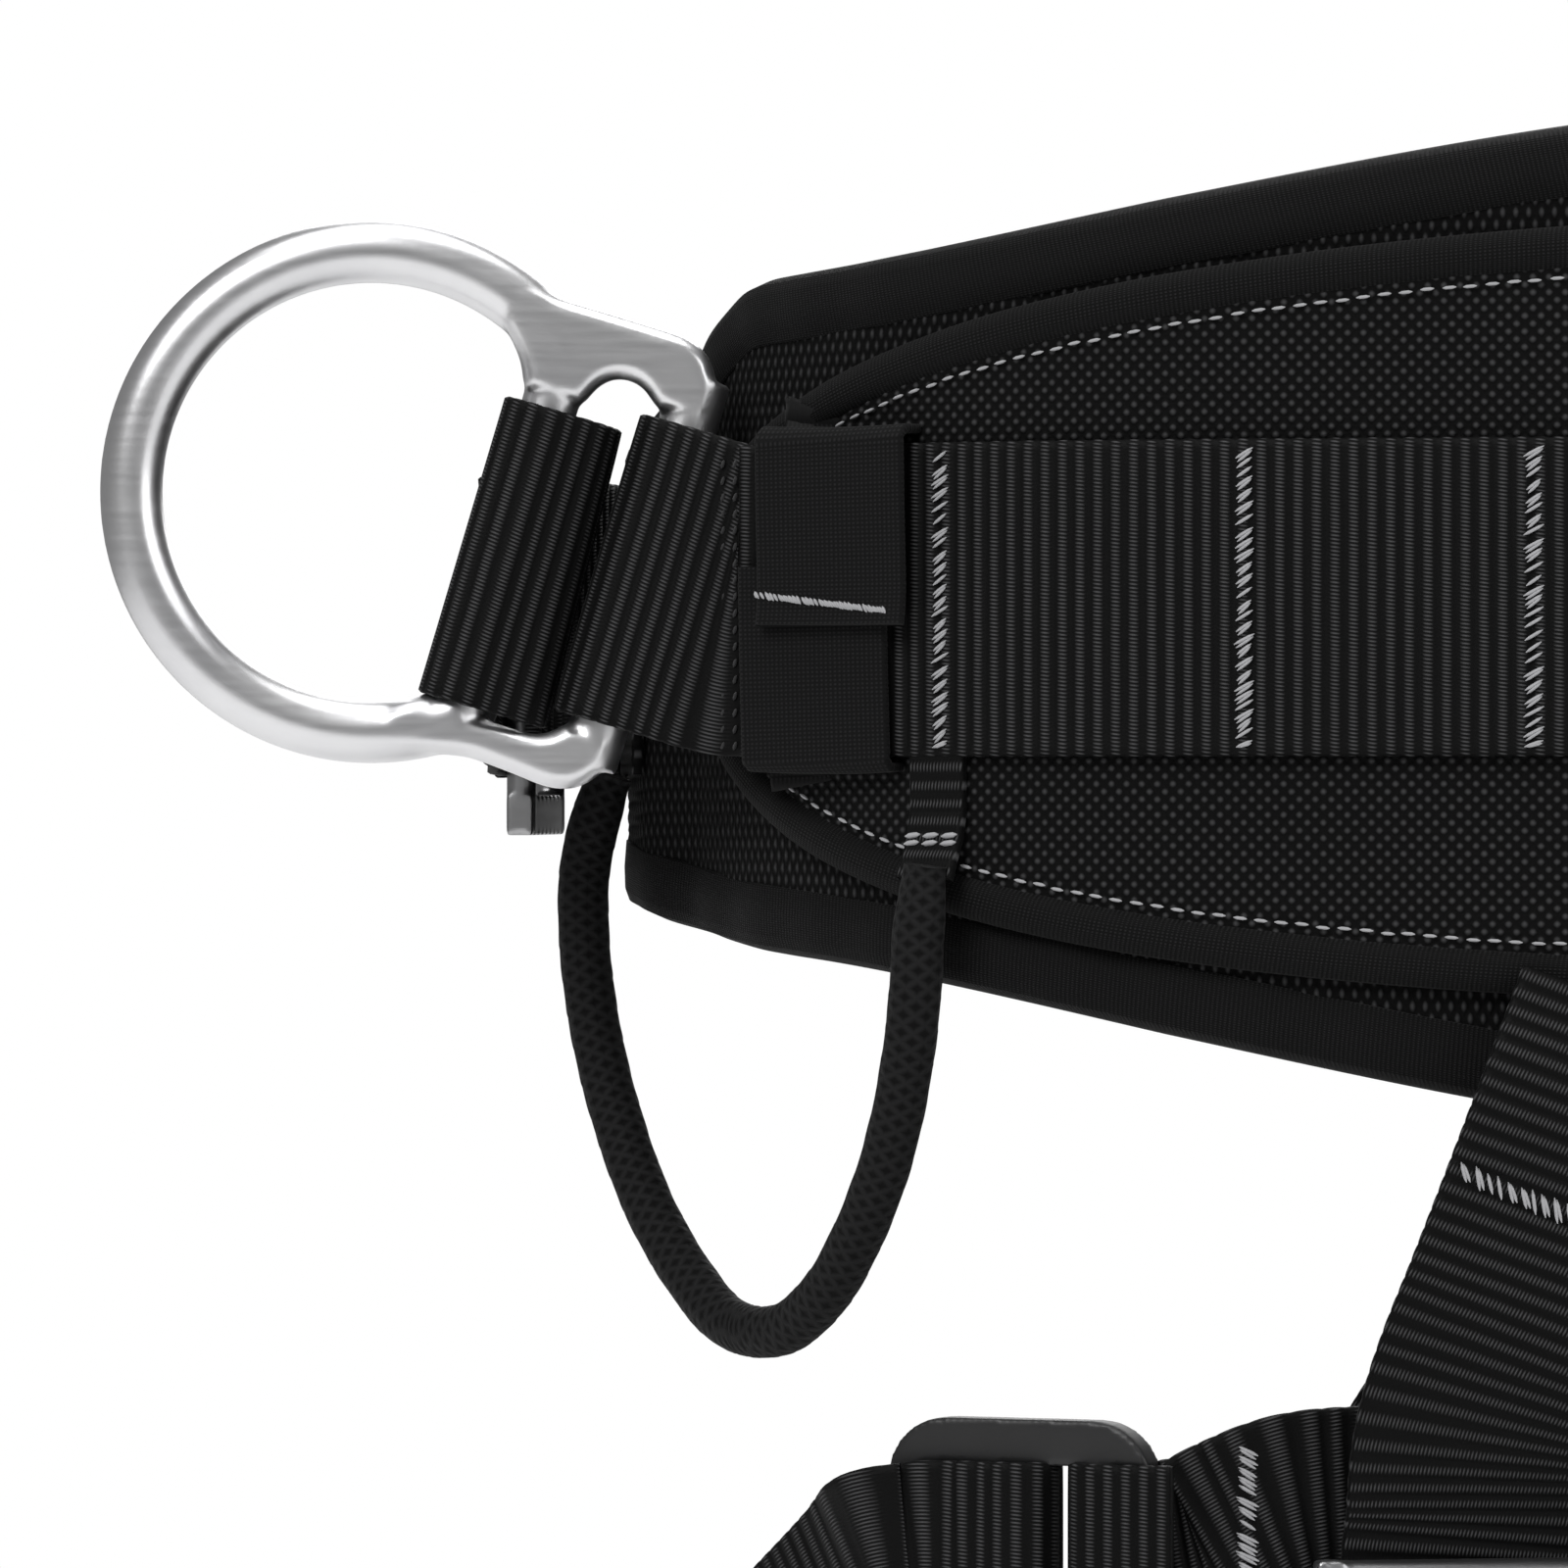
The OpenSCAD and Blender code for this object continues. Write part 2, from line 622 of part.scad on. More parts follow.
// Loop that joins the adjuster's lowest bar to the leg pad's lower edge
module left_riser_link() {
    path = concat(
        [foot_point(-7.4, -foot_gap - 15.5)],
        [for (a = [180 : -45 : 0]) foot_point(foot_loop_r * cos(a), -foot_gap + foot_loop_r * sin(a))],
        [foot_point(0.5, -foot_gap - 9), foot_point(-5.2, -foot_gap - 15.5)]
    );
    color("#202022") webbing(path, [for (p = path) foot_across]);
}

// ---- Leg loops: an ellipse round each thigh, with angles anticlockwise from the outer side ----
leg_c = [98, -5];
leg_fall = 40;
leg_buckle_phi = 68;
// How far the loop has dropped at an angle: level at the rear, lowest in front
function leg_sink(phi) =
    let (a = phi > 310 ? phi - 360 : phi)
    a < 100 ? leg_fall * ease((leg_buckle_phi - a) / 52) : leg_fall * ease((a - 130) / 130);
function leg_point(phi, n, z) =
    let (d = unit([cos(phi) / leg_rx, sin(phi) / leg_ry]))
    [leg_c.x + leg_rx * cos(phi) + n * d.x, leg_c.y + leg_ry * sin(phi) + n * d.y,
     z - leg_sink(phi)];
leg_pad_t = 9;
leg_pad_out = -2.4;
leg_pad_from = 104;
leg_pad_to = 302;
leg_end = 22;
function leg_stations(inset) = concat(
    [for (a = [84, 72, 54, 36, 18]) leg_pad_from + leg_end - (leg_end - inset) * sin(a)],
    [for (a = [leg_pad_from + leg_end : 7.7 : leg_pad_to - leg_end + eps]) a],
    [for (a = [18, 36, 54, 72, 84]) leg_pad_to - leg_end + (leg_end - inset) * sin(a)]
);
function leg_end_share(a, inset) =
    let (u = max(leg_pad_from + leg_end - a, a - leg_pad_to + leg_end) / (leg_end - inset))
    u <= 0 ? 1 : sqrt(max(0, 1 - u * u));
function leg_half(a, inset) =
    (leg_pad_h / 2 - 11 * ease((a - 190) / 80) - inset)
    * (0.35 + 0.65 * leg_end_share(a, inset / 2));
module left_leg_pad() {
    color("#1c1c1e")
    skin([
        for (a = leg_stations(1))
            let (h = leg_half(a, 1.5), far = leg_pad_out - leg_pad_t)
            [leg_point(a, leg_pad_out, -leg_drop - h), leg_point(a, far, -leg_drop - h),
             leg_point(a, far, -leg_drop + h), leg_point(a, leg_pad_out, -leg_drop + h)]
    ]);
}
module left_leg_pad_binding() {
    v = reverse(leg_stations(0));
    outline = concat([for (a = v) [a, leg_half(a, 0)]], [for (a = reverse(v)) [a, -leg_half(a, 0)]]);
    count = len(outline);
    // One degree is about 1.7 mm along the ellipse
    per_degree = 1.7;
    w = 8;
    n_in = leg_pad_out - leg_pad_t - tape_gap;
    n_out = leg_pad_out + tape_gap;
    section = [
        [0, n_in - tape_t], [w, n_in - tape_t], [w, n_in], [tape_t, n_in],
        [tape_t, n_out], [w, n_out], [w, n_out + tape_t], [0, n_out + tape_t]
    ];
    color("#222224")
    skin([
        for (i = [0 : count - 1])
            let (q = outline[(i + 1) % count] - outline[(i + count - 1) % count],
                 d = unit([-q.x * per_degree, q.y]),
                 inward = [-d.y / per_degree, -d.x])
            [for (p = section)
                let (e = outline[i] + p.x * inward)
                leg_point(e.x, p.y, e.y - leg_drop)]
    ], closed = true);
}
// Webbing that follows the slope of the leg loop; the last argument is the plan angle per point
function slope_across(path, phis) = [
    for (i = [0 : len(path) - 1])
        let (t = tangent(path, i), a = phis[i],
             n = unit([cos(a) / leg_rx, sin(a) / leg_ry, 0]),
             c = unit(cross(n, t)))
        c.z < 0 ? -c : c
];
// Webbing sewn to the leg pad, from the buckle round the back and inside of the thigh
webbing_n = -webbing_t / 2 + 0.15;
web_drop = leg_drop + 3;
end_bar_x = -12.1;
grip_bar_x = 1.1;
module left_leg_webbing() {
    phis = [for (a = [85 : 8 : 293]) a];
    turn = concat(
        [leg_buckle_place(-24, 2.6), leg_buckle_place(end_bar_x - 1.2, 3.9)],
        [for (a = [90 : -45 : -90]) leg_buckle_place(end_bar_x + 3.9 * cos(a), 3.9 * sin(a))],
        [leg_buckle_place(end_bar_x - 5, -3.4)]
    );
    body = [for (a = phis) leg_point(a, webbing_n, -web_drop)];
    all = concat(turn, body);
    color("#202022")
    webbing(all, slope_across(all, concat([for (p = turn) leg_buckle_phi], phis)));
}
// Adjustable strap: from the front of the pad round the outside to the buckle, with its tail
module left_leg_strap() {
    lead = [for (a = [298 : 10 : 408]) a];
    tail = [for (a = [46 : -6 : 16]) a];
    path = concat(
        [for (a = lead) leg_point(a, webbing_n, -web_drop)],
        [leg_buckle_place(21, -4.8)],
        [for (a = [-90 : 36 : 90]) leg_buckle_place(grip_bar_x - 0.8 + 4.7 * cos(a + 180), 4.7 * sin(a))],
        [leg_buckle_place(21, 5)],
        [for (a = tail) leg_point(a, 2 * webbing_t + 0.3, -web_drop)]
    );
    phis = concat(lead, [for (i = [0 : 7]) leg_buckle_phi], tail);
    color("#202022") webbing(path, slope_across(path, phis));
}
// Buckle frame with a fixed end bar, and a bar that slides in its rails to grip the strap
leg_buckle_w = 41;
leg_buckle_h = 60;
leg_buckle_t = 5;
buckle_heading = atan2(cos(leg_buckle_phi) / leg_rx, sin(leg_buckle_phi) / leg_ry);
buckle_c = leg_point(leg_buckle_phi, 0.6, -web_drop - 1);
function leg_buckle_place(x, y) =
    buckle_c + [cos(buckle_heading) * x + sin(buckle_heading) * y,
                -sin(buckle_heading) * x + cos(buckle_heading) * y,
                -leg_sink(leg_buckle_phi - max(0, x - 11) * 0.8)];
module on_leg_buckle() {
    translate(buckle_c) rotate([0, 0, -buckle_heading]) children();
}
module left_leg_buckle() {
    bar = 5.2;
    color("#161617")
    on_leg_buckle()
    union() {
        difference() {
            plate(leg_buckle_w, leg_buckle_h, leg_buckle_t, 9);
            cube([leg_buckle_w - 10.4, 3 * leg_buckle_t, 47], center = true);
            translate([grip_bar_x, 0, 0]) cube([13.5, 2.2, 56], center = true);
            translate([-leg_buckle_w / 2 + 2, 0, 0]) cube([6.5, 3 * leg_buckle_t, 47], center = true);
        }
        translate([end_bar_x, 0, 0]) cylinder(h = 49, r = bar / 2, center = true, $fn = 40);
    }
}
module left_leg_buckle_bar() {
    color("#2c2c2e")
    on_leg_buckle()
    translate([grip_bar_x, 0, 0])
    union() {
        cube([5, 1.6, 53], center = true);
        cube([4.6, 3.4, 46.4], center = true);
    }
}
leg_keeper_phi = 6;
module left_leg_keeper() {
    p = leg_point(leg_keeper_phi, webbing_n, -web_drop);
    turn = atan2(sin(leg_keeper_phi) / leg_ry, cos(leg_keeper_phi) / leg_rx) - 90;
    color("#2b2b2d")
    translate(p)
    rotate([0, 0, turn])
    difference() {
        cube([18, 3.4 + 2 * keeper_t, webbing_w + 1 + 2 * keeper_t], center = true);
        cube([19, 3.4, webbing_w + 1], center = true);
    }
}
// Strap that ties the front of the leg loop to the buckle frame's lower bar
link_w = 18;
link_x = 30;
link_r = eye_bar_r + 0.6 + webbing_t / 2;
link_n = 2.3;
module left_link_loop() {
    path = concat(
        [[link_x, buckle_y - 1.3, ventral_top - 13]],
        [for (a = [210 : -40 : -30]) [link_x, buckle_y + link_r * cos(a), ventral_top + link_r * sin(a)]],
        [[link_x, buckle_y + 1.3, ventral_top - 13]]
    );
    color("#202022") webbing(path, [for (p = path) [1, 0, 0]], link_w);
}
module left_front_link() {
    path = [
        [link_x + 0.8, buckle_y, ventral_top - 18.2], [link_x + 5.5, buckle_y + 2, ventral_top - 31],
        [45, -118, -93], [58, -114.8, -117], [71, -113, -139],
        leg_point(255, link_n, -leg_drop + 14), leg_point(262, link_n, -leg_drop + 2),
        leg_point(269, link_n, -leg_drop - 10)
    ];
    across = [for (i = [0 : len(path) - 1])
        let (t = tangent(path, i)) unit(cross(cross(t, [1, -0.16 * ease((i - 2) / 3), 0.4 * ease((i - 1) / 3)]), t))];
    color("#202022") webbing(path, across, link_w);
}

// ---- The right side mirrors the left ----
module flip() { mirror([1, 0, 0]) children(); }

waist_pad();
waist_pad_binding();
lumbar_panel();
lumbar_panel_binding();
waist_webbing();
left_keeper();
flip() left_keeper();  // right_keeper
left_d_ring();
flip() left_d_ring();  // right_d_ring
left_d_ring_loop();
flip() left_d_ring_loop();  // right_d_ring_loop
left_gear_loop();
flip() left_gear_loop();  // right_gear_loop
left_gear_loop_tabs();
flip() left_gear_loop_tabs();  // right_gear_loop_tabs
left_strap_lead();
flip() left_strap_lead();  // right_strap_lead
left_front_strap();
flip() front_strap(hook_bar_x, hook_y, 390);  // right_front_strap
left_strap_adjuster();
flip() left_strap_adjuster();  // right_strap_adjuster
left_front_keeper();
flip() left_front_keeper();  // right_front_keeper
front_buckle_frame();
front_buckle_hook();
ventral_loop();
ventral_ring();
left_riser_anchor();
flip() left_riser_anchor();  // right_riser_anchor
left_riser();
flip() left_riser();  // right_riser
left_riser_adjuster();
flip() left_riser_adjuster();  // right_riser_adjuster
left_riser_link();
flip() left_riser_link();  // right_riser_link
left_leg_pad();
flip() left_leg_pad();  // right_leg_pad
left_leg_pad_binding();
flip() left_leg_pad_binding();  // right_leg_pad_binding
left_leg_webbing();
flip() left_leg_webbing();  // right_leg_webbing
left_leg_strap();
flip() left_leg_strap();  // right_leg_strap
left_leg_buckle();
flip() left_leg_buckle();  // right_leg_buckle
left_leg_buckle_bar();
flip() left_leg_buckle_bar();  // right_leg_buckle_bar
left_leg_keeper();
flip() left_leg_keeper();  // right_leg_keeper
left_front_link();
flip() left_front_link();  // right_front_link
left_link_loop();
flip() left_link_loop();  // right_link_loop
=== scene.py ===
"""Looks of the tree climbing saddle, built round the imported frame.

Lengths are in millimetres, in the frame's own axes, until mesh_object() turns them into metres.
The waist and leg curves are the ones that the solids follow, so every soft piece lies on its solid.
"""

import math

import bmesh
import bpy
import numpy as np
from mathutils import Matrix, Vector

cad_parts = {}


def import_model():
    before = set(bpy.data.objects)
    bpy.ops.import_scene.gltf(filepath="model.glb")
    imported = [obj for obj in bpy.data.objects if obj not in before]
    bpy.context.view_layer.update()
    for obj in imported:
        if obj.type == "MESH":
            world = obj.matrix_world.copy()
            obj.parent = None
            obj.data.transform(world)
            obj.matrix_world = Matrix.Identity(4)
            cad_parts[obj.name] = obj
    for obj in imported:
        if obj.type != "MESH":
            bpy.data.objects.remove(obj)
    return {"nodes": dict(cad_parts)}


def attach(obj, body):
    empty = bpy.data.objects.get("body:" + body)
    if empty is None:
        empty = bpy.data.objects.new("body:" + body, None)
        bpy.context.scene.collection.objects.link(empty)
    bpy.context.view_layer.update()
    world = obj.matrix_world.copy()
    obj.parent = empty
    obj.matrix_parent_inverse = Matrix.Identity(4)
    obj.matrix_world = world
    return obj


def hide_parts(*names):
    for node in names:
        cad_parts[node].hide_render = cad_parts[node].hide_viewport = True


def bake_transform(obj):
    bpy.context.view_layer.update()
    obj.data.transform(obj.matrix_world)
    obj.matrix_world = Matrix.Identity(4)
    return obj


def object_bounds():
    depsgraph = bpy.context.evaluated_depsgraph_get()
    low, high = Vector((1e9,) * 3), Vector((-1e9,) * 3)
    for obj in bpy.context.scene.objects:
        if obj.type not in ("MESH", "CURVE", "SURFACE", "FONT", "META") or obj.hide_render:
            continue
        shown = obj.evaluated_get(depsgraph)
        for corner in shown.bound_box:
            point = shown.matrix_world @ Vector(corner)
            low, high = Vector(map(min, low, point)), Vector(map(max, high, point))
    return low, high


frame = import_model()
CAD_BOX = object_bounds()
MM = 0.001
SIDES = (("left", 1), ("right", -1))

# ---------------- sizes shared with the solids
WEB_W, WEB_T = 45.0, 2.0
RIB_PITCH = 2.64
BACK_R, HIP_R, BACK_Y = 420.0, 104.0, 122.0
BACK_A, FRONT_A = math.radians(16), math.radians(150)
PAD_OUT, PAD_IN = -5.2, -15.2
PANEL_OUT, PANEL_HALF, PANEL_H = -2.2, 210.0, 55.0
PAD_LEN, PAD_END = 300.0, 34.0
RING_TILT = math.radians(16.5)
RING_REACH, RING_R, RING_ROD = 41.5, 35.0, 4.6
BAR_GAP, BASE_BAR, CROSS_BAR, STRAP_SHIFT, BELT_SHIFT = 20.15, 4.6, 4.2, -3.5, -0.4
LEG_C, LEG_RX, LEG_RY, LEG_DROP, LEG_FALL = (98.0, -5.0), 92.0, 107.0, 143.0, 40.0
BUCKLE_PHI = 68.0
CORD_D = 7.5
# The gear loop's route, the points that the solid follows
GEAR_ROUTE = [
    (147, 95.2, -38), (147.9, 94.3, -48), (148.5, 92.9, -58), (149.9, 89.4, -69), (152.3, 85, -80),
    (156, 79, -90.5), (161, 71, -100), (167.5, 61, -106), (175, 51, -105.5), (181.5, 42, -98.5),
    (187.3, 35, -88.5), (191.8, 29.5, -76.5), (195, 26.5, -64), (196.8, 25, -51), (196.8, 24.5, -39),
    (194.4, 25.5, -29),
]
# Where the visual cord ends, behind its tab, and the direction across the loop
GEAR_END, GEAR_PLANE = (193, 25.9, -25), (0.54, -0.834, 0.11)


def unit(v):
    v = np.asarray(v, float)
    return v / np.maximum(np.linalg.norm(v, axis=-1, keepdims=True), 1e-9)


def ease(u):
    u = np.clip(u, 0, 1)
    return u * u * (3 - 2 * u)


def mirror(points, sign):
    return np.asarray(points, float) * np.array([sign, 1, 1])


def metres(point, sign):
    return tuple(mirror(point, sign) * MM)


# ---------------- the waist curve
def polar(a):
    return np.stack([np.sin(a), np.cos(a)], -1)


C_BACK = np.array([0, BACK_Y - BACK_R])
C_HIP = C_BACK + (BACK_R - HIP_R) * polar(BACK_A)
FRONT_R = HIP_R + C_HIP[0] / math.sin(FRONT_A)
C_FRONT = C_HIP + (HIP_R - FRONT_R) * polar(FRONT_A)
LEN_BACK = BACK_R * BACK_A
LEN_HIP = LEN_BACK + HIP_R * (FRONT_A - BACK_A)


def heading(s):
    s = np.abs(s)
    hip = BACK_A + (s - LEN_BACK) / HIP_R
    front = FRONT_A + (s - LEN_HIP) / FRONT_R
    return np.where(s < LEN_BACK, s / BACK_R, np.where(s < LEN_HIP, hip, front))


def waist(s, n, z):
    """Points at arc length s from the middle of the back, n outside the belt's face, at height z."""
    s, n, z = np.broadcast_arrays(np.asarray(s, float), n, z)
    a = heading(s)[..., None]
    t = np.abs(s)[..., None]
    c = np.where(t < LEN_BACK, C_BACK, np.where(t < LEN_HIP, C_HIP, C_FRONT))
    r = np.where(t < LEN_BACK, BACK_R, np.where(t < LEN_HIP, HIP_R, FRONT_R))
    p = c + (r + n[..., None]) * polar(a[..., 0])
    return np.stack([np.where(s < 0, -p[..., 0], p[..., 0]), p[..., 1], z], -1)


def swell(s):
    return 0.5 + 0.5 * np.cos(np.pi * np.minimum(1, np.abs(s) / 210))


def pad_span(s):
    """Lowest and highest z of the waist pad at s, its ends rounded."""
    t = np.abs(s)
    top = 47.5 + 23.5 * swell(s) - 22 * ease((t - 192.5) / 46)
    low = -51 - 27 * swell(s) + 6 * ease((t - 190) / 60)
    u = np.clip((t - (PAD_LEN - PAD_END)) / PAD_END, 0, 1)
    half = (top - low) / 2 * np.sqrt(1 - u * u)
    return (top + low) / 2 - half, (top + low) / 2 + half


def panel_edge(s, h, power):
    return h * np.maximum(0, 1 - np.abs(s / PANEL_HALF) ** power) ** (1 / power)


def panel_span(s):
    return -panel_edge(s, PANEL_H + 2.5, 2.4), panel_edge(s, PANEL_H - 1, 2.1)


def pad_place(s, n, z):
    """Like waist(), but the pad stands further out beyond the panel, where the belt has left it."""
    t = np.abs(s)
    return waist(s, n + 4.2 * ease((t - 211) / 20) * (1 - ease((t - 246) / 40)), z)


# ---------------- the leg curve
def leg_sink(phi):
    a = np.where(phi > 310, phi - 360, phi)
    outer, inner = ease((BUCKLE_PHI - a) / 52), ease((a - 130) / 130)
    return LEG_FALL * np.where(a < 100, outer, inner)


def leg_point(phi, n, z):
    phi, n, z = np.broadcast_arrays(np.asarray(phi, float), n, z)
    a = np.radians(phi)
    d = unit(np.stack([np.cos(a) / LEG_RX, np.sin(a) / LEG_RY], -1))
    x = LEG_C[0] + LEG_RX * np.cos(a) + n * d[..., 0]
    y = LEG_C[1] + LEG_RY * np.sin(a) + n * d[..., 1]
    return np.stack([x, y, z - leg_sink(phi)], -1)


def leg_half_h(a):
    """Half height of the leg pad at angle a, its ends rounded."""
    u = np.clip(np.maximum(126 - a, a - 280) / 22, 0, 1)
    return (42 - 11 * ease((a - 190) / 80)) * (0.35 + 0.65 * np.sqrt(1 - u * u))


# ---------------- mesh making
def outward(verts, faces):
    """The faces, turned over where the closed mesh would be inside out."""
    v = np.asarray(verts, float)
    quads = np.array([f for f in faces if len(f) == 4])
    a, b, c, d = (v[quads[:, k]] - v.mean(0) for k in range(4))
    volume = (np.cross(b, c) * a).sum() + (np.cross(c, d) * a).sum()
    return faces if volume > 0 else [f[::-1] for f in faces]


def mesh_object(name, verts, faces, material, lay=None, body=None, replaces=()):
    """A mesh from points in millimetres; lay holds each point's place on the cloth, in millimetres."""
    mesh = bpy.data.meshes.new(name)
    mesh.from_pydata((np.asarray(verts, float) * MM).tolist(), [], outward(verts, faces))
    mesh.update()
    mesh.shade_smooth()
    if lay is not None:
        data = np.zeros((len(verts), 3), np.float32)
        data[:, : np.shape(lay)[1]] = lay
        mesh.attributes.new("lay", "FLOAT_VECTOR", "POINT").data.foreach_set("vector", data.ravel())
    obj = bpy.data.objects.new(name, mesh)
    bpy.context.scene.collection.objects.link(obj)
    mesh.materials.append(material)
    if body:
        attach(obj, body)
    if replaces:
        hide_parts(*replaces)
    return obj


def grid_faces(rows, cols, close_rows=False):
    """Quads over a rows x cols grid of points that closes on itself across the columns."""
    r = np.arange(rows if close_rows else rows - 1)[:, None]
    c = np.arange(cols)[None, :]
    r2, c2 = (r + 1) % rows, (c + 1) % cols
    return np.stack([r * cols + c, r2 * cols + c, r2 * cols + c2, r * cols + c2], -1).reshape(-1, 4).tolist()


def capped(rows, cols):
    """The same with flat ends."""
    return grid_faces(rows, cols) + [list(range(cols))[::-1], list(range((rows - 1) * cols, rows * cols))]


def tube_mesh(name, rings, material, lay, closed=False, **more):
    """A closed skin over rings of points, with flat ends unless the rings close on themselves."""
    count, m = rings.shape[:2]
    faces = grid_faces(count, m, close_rows=True) if closed else capped(count, m)
    return mesh_object(name, rings.reshape(-1, 3), faces, material, lay.reshape(count * m, -1), **more)


def join(name, parts, material, **more):
    """One mesh from several (points, faces) pairs."""
    verts, faces, start = [], [], 0
    for v, f in parts:
        verts.append(v)
        faces += [[i + start for i in q] for q in f]
        start += len(v)
    return mesh_object(name, np.concatenate(verts), faces, material, np.zeros((start, 2)), **more)


def smooth_path(points, step, extra=None):
    """Catmull-Rom curve through points, evenly spaced; extra values are carried along."""
    p = np.asarray(points, float)
    q = p if extra is None else np.concatenate([p, np.asarray(extra, float)], 1)
    e = np.concatenate([[2 * q[0] - q[1]], q, [2 * q[-1] - q[-2]]])
    u = np.linspace(0, 1, 13)[:-1, None]
    dense = []
    for i in range(1, len(e) - 2):
        a, b, c, d = e[i - 1], e[i], e[i + 1], e[i + 2]
        dense.append(0.5 * (2 * b + (c - a) * u + (2 * a - 5 * b + 4 * c - d) * u**2 + (3 * b - a - 3 * c + d) * u**3))
    dense = np.concatenate(dense + [q[-1:]])
    length = np.concatenate([[0], np.cumsum(np.linalg.norm(np.diff(dense[:, :3], axis=0), axis=1))])
    at = np.linspace(0, length[-1], max(3, int(round(length[-1] / step)) + 1))
    out = np.stack([np.interp(at, length, dense[:, k]) for k in range(dense.shape[1])], -1)
    return (out[:, :3], at) if extra is None else (out[:, :3], out[:, 3:], at)


def strap_frames(points, across, step):
    p, a, at = smooth_path(points, step, across)
    t = unit(np.gradient(p, axis=0))
    a = unit(a - (a * t).sum(1, keepdims=True) * t)
    return p, a, np.cross(t, a), at


def circle(sides, x, y):
    """Points round a unit circle whose axes are x and y."""
    ang = np.linspace(0, 2 * np.pi, sides, endpoint=False)[:, None]
    return np.cos(ang) * np.asarray(x)[..., None, :] + np.sin(ang) * np.asarray(y)[..., None, :]


def strap_section(w, t, steps=11):
    """Closed outline of flat webbing: across it x, through it y, and how far from its edge, 0 to 1."""
    x = np.cos(np.linspace(0, np.pi, steps)) * (w / 2 - 0.3)
    side = np.array([0.5, -0.5]) * t * 0.55
    xs = np.concatenate([x, [-w / 2, -w / 2], x[::-1], [w / 2, w / 2]])
    ys = np.concatenate([np.full(steps, t / 2), side, np.full(steps, -t / 2), side[::-1]])
    flat = np.concatenate([1 - (np.abs(x) / (w / 2)) ** 14, [0, 0], 1 - (np.abs(x[::-1]) / (w / 2)) ** 14, [0, 0]])
    return xs, ys, flat


def strap(name, points, across, body, replaces=(), sign=1, w=WEB_W, t=WEB_T, pitch=RIB_PITCH, relief=0.34, mat="webbing",
          seed=0, wave=0.0):
    """Ribbed webbing along a path, mirrored where sign is -1: the ribs run across it and are in the mesh.

    across is the direction across the webbing, at each point or for all of them.
    """
    across = np.broadcast_to(np.asarray(across, float), (len(points), 3))
    p, a, n, at = strap_frames(mirror(points, sign), mirror(across, sign), pitch / 6)
    rib = np.sqrt(np.abs(np.sin(np.pi * at / pitch)))
    xs, ys, flat = strap_section(w, t)
    depth = np.sign(ys) * (relief * (rib[:, None] - 0.75)) * np.clip(flat, 0.15, 1)
    edge = 1 + (rib[:, None] - 1) * 0.006
    lift = wave * np.sin(at / 23 + seed)[:, None] * (xs / (w / 2)) ** 2
    rings = p[:, None] + a[:, None] * (xs * edge)[..., None] + n[:, None] * (ys + depth + lift)[..., None]
    lay = np.stack(np.broadcast_arrays(at[:, None] + 37 * pitch * seed, xs + 0 * depth), -1)
    return tube_mesh(name, rings, MATS[mat], lay, body=body, replaces=replaces)


def turn_of(first, last, step=15):
    """Angles from first to last, in radians."""
    return np.radians(np.linspace(first, last, int(abs(last - first) / step) + 1))


def arc(place, x, y, r, first, last, step=15):
    """Points on a circle round (x, y), put in space by place(x, y)."""
    return [place(x + r * math.cos(a), y + r * math.sin(a)) for a in turn_of(first, last, step)]


def capsule(a, b, r, sides=6, rings=5):
    """A short thread from a to b: pointed ends, round in between."""
    a, b = np.asarray(a, float), np.asarray(b, float)
    t = unit(b - a)
    side = unit(np.cross(t, [0.31, 0.2, 0.93]))
    u = np.linspace(0, 1, rings)
    swell_r = r * np.sqrt(np.clip(1 - (2 * u - 1) ** 4, 0.06, 1))
    v = (a + u[:, None] * (b - a))[:, None] + swell_r[:, None, None] * circle(sides, side, np.cross(t, side))
    return v.reshape(-1, 3), capped(rings, sides)


ELASTIC = {"t": 1.3, "pitch": 1.1, "relief": 0.05, "mat": "elastic"}


def stitches(name, place, length, body, pitch, dash, r, jitter):
    """A dashed stitch line; place(u) gives the point at distance u along it."""
    parts = []
    rng = np.random.default_rng(7)
    for k in range(int(length // pitch)):
        j = rng.uniform(-jitter, jitter, 3)
        parts.append(capsule(place(k * pitch) + j, place(k * pitch + dash) + j, r))
    return join(name, parts, MATS["thread"], body=body)


def bar_tacks(name, places, length, body=None, width=2.6, pitch=1.5, r=0.3):
    """Zigzags of thread as one piece. places holds (place, seed): place(u, v) is the point u along a tack and v across."""
    parts = []
    for place, seed in places:
        rng = np.random.default_rng(seed)
        u, side = 0.0, 1
        while u < length:
            nxt = min(length, u + pitch * rng.uniform(0.75, 1.2))
            w = width / 2 * rng.uniform(0.75, 1.1)
            lean = pitch * 0.9
            parts.append(capsule(place(u, -w * side), place(min(length, u + lean), w * side), r))
            if rng.random() < 0.7:
                start, end = place(u + 0.4, -w * side * 0.9), place(min(length, u + lean + 0.5), w * side * 0.8)
                parts.append(capsule(start, end, r * 0.9))
            u = nxt
    return join(name, parts, MATS["thread"], body=body)


# ---------------- materials
def new_material(name, slot):
    mat = bpy.data.materials.new(name)
    mat.use_nodes = True
    mat["slot"] = slot
    nt = mat.node_tree
    shader = nt.nodes["Principled BSDF"]

    def node(kind, **values):
        n = nt.nodes.new(kind)
        for key, value in values.items():
            if key.startswith("in_"):
                k = key[3:]
                n.inputs[int(k) if k.isdigit() else k].default_value = value
            else:
                setattr(n, key, value)
        return n

    def link(a, b):
        nt.links.new(a, b)

    return mat, shader, node, link


